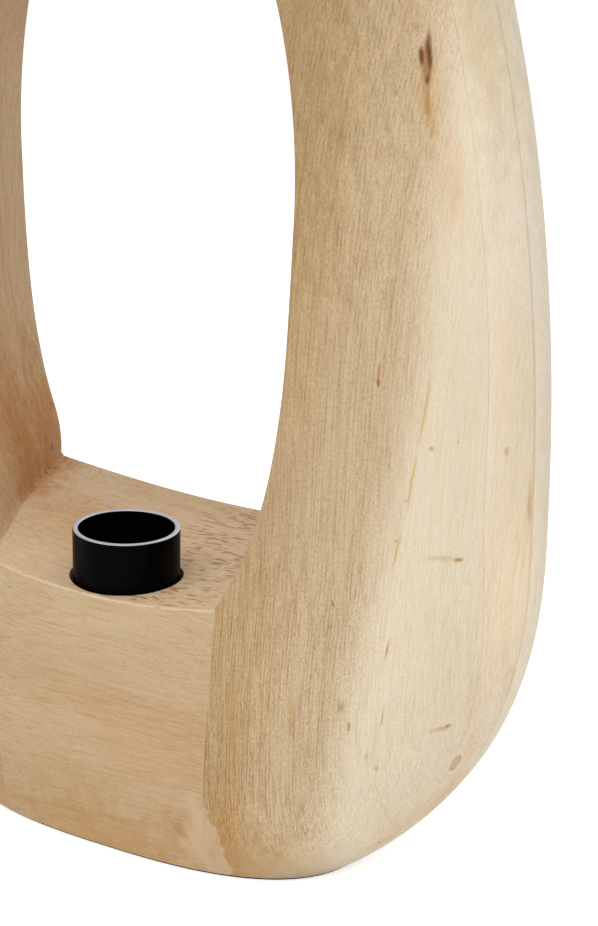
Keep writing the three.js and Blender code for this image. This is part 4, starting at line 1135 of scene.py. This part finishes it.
def wood_finishes():
    """One cut of wood for each board, so that no two neighbours share their grain.

    The four lengths of sap_span are where heartwood ends, flank starts, flank ends and sapwood starts.
    """
    lying = {"flat": True, "heart": RAIL_TAN}
    rail = {**lying, "figure": 0.72, "line_cover": 0.4, "grit_cover": 0.75, "bar": True}
    top = {**lying, "line_cover": 0.5, "grit_cover": 0.6}
    left_front = {"sweep": -0.07, "sap_span": (62, 88, 90, 112), "heart": HAZEL}
    left_middle = {"sweep": -0.05, "sap_span": (66, 100, 100, 120), "heart": HAZEL}
    left_rear = {"sweep": -0.08, "sap_span": (66, 92, 92, 118), "heart": HAZEL}
    right_front = {"sweep": 0.065, "sap_span": (60, 86, 90, 108)}
    right_middle = {"sweep": 0.05, "sap_span": (50, 70, 70, 110), "sap": PALE_CREAM, "growth": -7.5}
    right_rear = {"sweep": 0.08, "sap_span": (48, 80, 84, 108), "sap": PALE_CREAM}
    cuts = {
        "base_rail_front": (1.1, rail, BASE_FRONT_MARKS),
        "base_rail_middle": (2.3, rail, BASE_MIDDLE_MARKS),
        "base_rail_rear": (3.7, rail, ()),
        "top_rail_front": (4.9, top, TOP_FRONT_MARKS),
        "top_rail_middle": (5.3, top, ()),
        "top_rail_rear": (6.1, top, ()),
        "left_upright_front": (7.7, left_front, LEFT_FRONT_MARKS),
        "left_upright_middle": (8.3, left_middle, LEFT_MIDDLE_MARKS),
        "left_upright_rear": (9.1, left_rear, LEFT_REAR_MARKS),
        "right_upright_front": (10.9, right_front, RIGHT_FRONT_MARKS),
        "right_upright_middle": (11.7, right_middle, RIGHT_MIDDLE_MARKS),
        "right_upright_rear": (12.3, right_rear, RIGHT_REAR_MARKS),
    }
    finishes = {}
    for node, (seed, cut, marks) in cuts.items():
        name = node.replace("_rail", "").replace("_upright", "") + "_wood"
        finishes[node] = wood(name, seed=seed, marks=marks, **cut)
    return finishes


def felt_finish():
    """Dark pressed felt: matted fibres in two tones, soft sheen."""
    finish = Finish("pressed_felt", Roughness=0.95, Sheen_Weight=0.25, Sheen_Roughness=0.5)
    dark, light, tufted = (0.012, 0.011, 0.010), (0.045, 0.040, 0.035), (0.02, 0.018, 0.016)
    mat, tuft = finish.speckle(900, 3.0), finish.speckle(140)
    paint = finish.mix(dark, light, finish.range(mat, *NOISE_SPAN))
    paint = finish.mix(paint, tufted, finish.range(tuft, *PATCH_SPAN, 0.0, 0.5))
    return finish.done(Base_Color=paint, Normal=finish.bump(mat, 0.3))


def fibreboard_finish():
    """Brown hardboard: short fibres pressed flat."""
    finish = Finish("pressed_fibreboard", Roughness=0.7)
    dark, light = (0.10, 0.055, 0.025), (0.22, 0.13, 0.065)
    flake = finish.speckle(420, 4.0)
    paint = finish.mix(dark, light, finish.range(flake, *NOISE_SPAN))
    return finish.done(Base_Color=paint, Normal=finish.bump(flake, 0.12))


def painted_cup_finish():
    """Satin black paint with a fine orange peel; the cut rim of the tube is bare grey metal."""
    finish = Finish("black_painted_steel", Specular_IOR_Level=0.02)
    black, brownish, metal = (0.0006, 0.0005, 0.0005), (0.0014, 0.0010, 0.0008), (0.42, 0.45, 0.49)
    paint_end, bare_start = CUP_RIM_Z - 0.28, CUP_RIM_Z - 0.08
    peel, haze = finish.speckle(700), finish.speckle((60, 60, 25), 3.0)
    bare = finish.within(finish.parts(finish.spot)[2], paint_end, bare_start)
    paint = finish.mix(black, brownish, finish.range(haze, *NOISE_SPAN))
    paint = finish.mix(paint, metal, bare)
    rough = finish.plus(finish.range(haze, *NOISE_SPAN, 0.30, 0.40), finish.times(bare, 0.1))
    return finish.done(Base_Color=paint, Metallic=bare, Roughness=rough, Normal=finish.bump(peel, 0.01))


def moulded_finish(name, low, high, rough=(0.35, 0.5), grain=900):
    """Moulded or glazed stuff: faint clouds between two near tones and a fine moulded grain."""
    finish = Finish(name)
    cloud, fine = finish.speckle(110, 3.0), finish.speckle(grain)
    paint = finish.mix(low, high, finish.range(cloud, *NOISE_SPAN))
    gloss = finish.range(fine, *NOISE_SPAN, *rough)
    return finish.done(Base_Color=paint, Roughness=gloss, Normal=finish.bump(fine, 0.02))


def metal_finish(name, bright, dull, rough=(0.22, 0.42)):
    """Drawn or plated metal: drawing lines, and dull spots where it has tarnished."""
    finish = Finish(name, Metallic=1.0)
    line, spot = finish.speckle((300, 300, 1500)), finish.speckle(180, 3.0)
    tarnish = finish.range(spot, *PATCH_SPAN)
    gloss = finish.plus(finish.range(line, *NOISE_SPAN, *rough), finish.times(tarnish, 0.12))
    paint = finish.mix(bright, dull, tarnish)
    return finish.done(Base_Color=paint, Roughness=gloss, Normal=finish.bump(line, 0.01))


def slot_finishes():
    """The finish of each material slot of the record; the boards of the ring have their own cuts."""
    glaze = {"rough": (0.12, 0.22), "grain": 300}
    return {
        "dowel_wood": wood("dowel_wood", flat=True, seed=13.0),
        "felt": felt_finish(),
        "fibreboard": fibreboard_finish(),
        "black_steel": painted_cup_finish(),
        "black_plastic": moulded_finish("black_moulding", (0.008, 0.008, 0.008), (0.016, 0.016, 0.016)),
        "white_carrier": moulded_finish("white_glaze", (0.74, 0.72, 0.67), (0.82, 0.80, 0.75), **glaze),
        "brass": metal_finish("pressed_brass", (0.78, 0.58, 0.26), (0.55, 0.37, 0.15)),
        "steel": metal_finish("zinc_plate", (0.66, 0.67, 0.68), (0.48, 0.49, 0.50), (0.28, 0.45)),
        "live_insulation": moulded_finish("brown_insulation", (0.13, 0.05, 0.02), (0.17, 0.07, 0.03)),
        "neutral_insulation": moulded_finish("blue_insulation", (0.02, 0.09, 0.32), (0.03, 0.12, 0.38)),
        "pale_plastic": moulded_finish("milky_moulding", (0.62, 0.60, 0.54), (0.70, 0.68, 0.62)),
    }


# Assembly

def place_boards(finishes):
    """The boards of the ring, each for its CAD node, with a soft edge round the foot."""
    for node, mesh in ring_boards().items():
        piece = place(mesh, "lamp", node)
        if node.startswith("base_rail"):
            carve(piece, base_cutters(node.rsplit("_", 1)[1]))
        dress(piece, finishes[node])
        soft = piece.modifiers.new("foot_edge", "BEVEL")
        soft.limit_method = "WEIGHT"
        soft.width = FOOT_EDGE * MM
        soft.segments = 3


def place_holder(finishes):
    """Cup, skirt, shell, contact and spring of the lampholder, the cord bush and the felt."""
    pieces = [
        (drawn_cup(), "lamp", "holder_cup", "black_steel"),
        (moulded_skirt(), "lamp", "holder_skirt", "black_plastic"),
        (rolled_shell(), "lamp", "screw_shell", "brass"),
        (turned_contact(), "contact", "centre_contact", "brass"),
        (wound_spring(), "lamp", "contact_spring", "steel"),
        (moulded_bush(), "lamp", "cord_bush", "black_plastic"),
        (felt_pad(), "lamp", "foot_felt", "felt"),
    ]
    placed = {}
    for mesh, body, node, slot in pieces:
        placed[node] = place(mesh, body, node)
        dress(placed[node], finishes[slot])
    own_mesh(placed["contact_spring"])


def dress_nodes(boards, finishes):
    """Gives every CAD node the finish of its board or slot."""
    for part in frame["record"]["subparts"]:
        node = part["node"]
        dress(frame["nodes"][node], boards.get(node) or finishes[part["material_slot"]])


# Stage: radii of the floor's rings and places of the lights, in metres

FLOOR_RINGS = (0.0, 0.4, 1.0, 2.5, 6.0)
FLOOR_GLOW = 0.6
WORLD_LIGHT = 0.5
SOFT_BOXES = {
    "key": {"power": 5.8, "size": 0.9, "spot": (0.85, -0.90, 0.85), "aim": (0, 0, 0.2)},
    "overhead": {"power": 12.0, "size": 1.2, "spot": (-0.2, -0.8, 1.5), "aim": (0, 0, 0.1)},
    "fill": {"power": 5.5, "size": 1.2, "spot": (0.2, 1.3, 1.1), "aim": (0, 0, 0.2)},
}


def floor():
    """Pale floor as a flat disc; it shows white to the eye and still takes the lamp's shadow."""
    angle = full_turn(96)
    radius = np.array(FLOOR_RINGS)[None, :] / MM
    points = np.stack([radius * np.cos(angle), radius * np.sin(angle), 0 * radius * angle], axis=2)
    mesh = grid_mesh("floor", points, wrap_rows=True)
    show("floor", mesh)
    material = bpy.data.materials.new("pale_floor")
    material.use_nodes = True
    work = Nodes(material.node_tree)
    pale = {"Base Color": (0.85, 0.85, 0.85, 1), "Roughness": 0.9, "Specular IOR Level": 0.0}
    matt = work.feed(work.tree.nodes["Principled BSDF"], pale).outputs[0]
    glow = work.node("ShaderNodeEmission", {"Strength": FLOOR_GLOW}).outputs[0]
    both = work.node("ShaderNodeAddShader", {0: matt, 1: glow}).outputs[0]
    work.feed(work.tree.nodes["Material Output"], {"Surface": work.for_eye(matt, both)})
    mesh.materials.append(material)


def surroundings():
    """Even studio light all round, seen as plain white."""
    world = bpy.data.worlds.new("studio")
    world.use_nodes = True
    work = Nodes(world.node_tree)
    white = (1, 1, 1, 1)
    dim = work.feed(work.tree.nodes["Background"], {"Color": white, "Strength": WORLD_LIGHT})
    bright = work.node("ShaderNodeBackground", {"Color": white, "Strength": 1.0})
    shown = work.for_eye(dim.outputs[0], bright.outputs[0])
    work.feed(work.tree.nodes["World Output"], {"Surface": shown})
    bpy.context.scene.world = world


def soft_box(name, power, size, spot, aim):
    """A square soft light that looks at a point."""
    light = bpy.data.lights.new(name, "AREA")
    light.energy = power
    light.size = size
    box = show(name, light)
    box.location = spot
    box.rotation_euler = (Vector(aim) - Vector(spot)).to_track_quat("-Z", "Y").to_euler()


def photo_camera():
    """Camera at the place from which the outline, the seams and the cup fall on those of the photograph."""
    lens = bpy.data.cameras.new("photo_camera")
    lens.sensor_width = CAMERA_SENSOR
    lens.lens = CAMERA_LENS
    camera = show("photo_camera", lens)
    camera.matrix_world = Matrix.LocRotScale(Vector(CAMERA_SPOT), Euler(CAMERA_TURN), None)
    bpy.context.scene.camera = camera


photo_camera()
board_finishes = wood_finishes()
other_finishes = slot_finishes()
place_boards(board_finishes)
place_holder(other_finishes)
dress_nodes(board_finishes, other_finishes)
floor()
surroundings()
for light_name, light_values in SOFT_BOXES.items():
    soft_box(light_name, **light_values)
bpy.context.scene.view_settings.view_transform = "Standard"
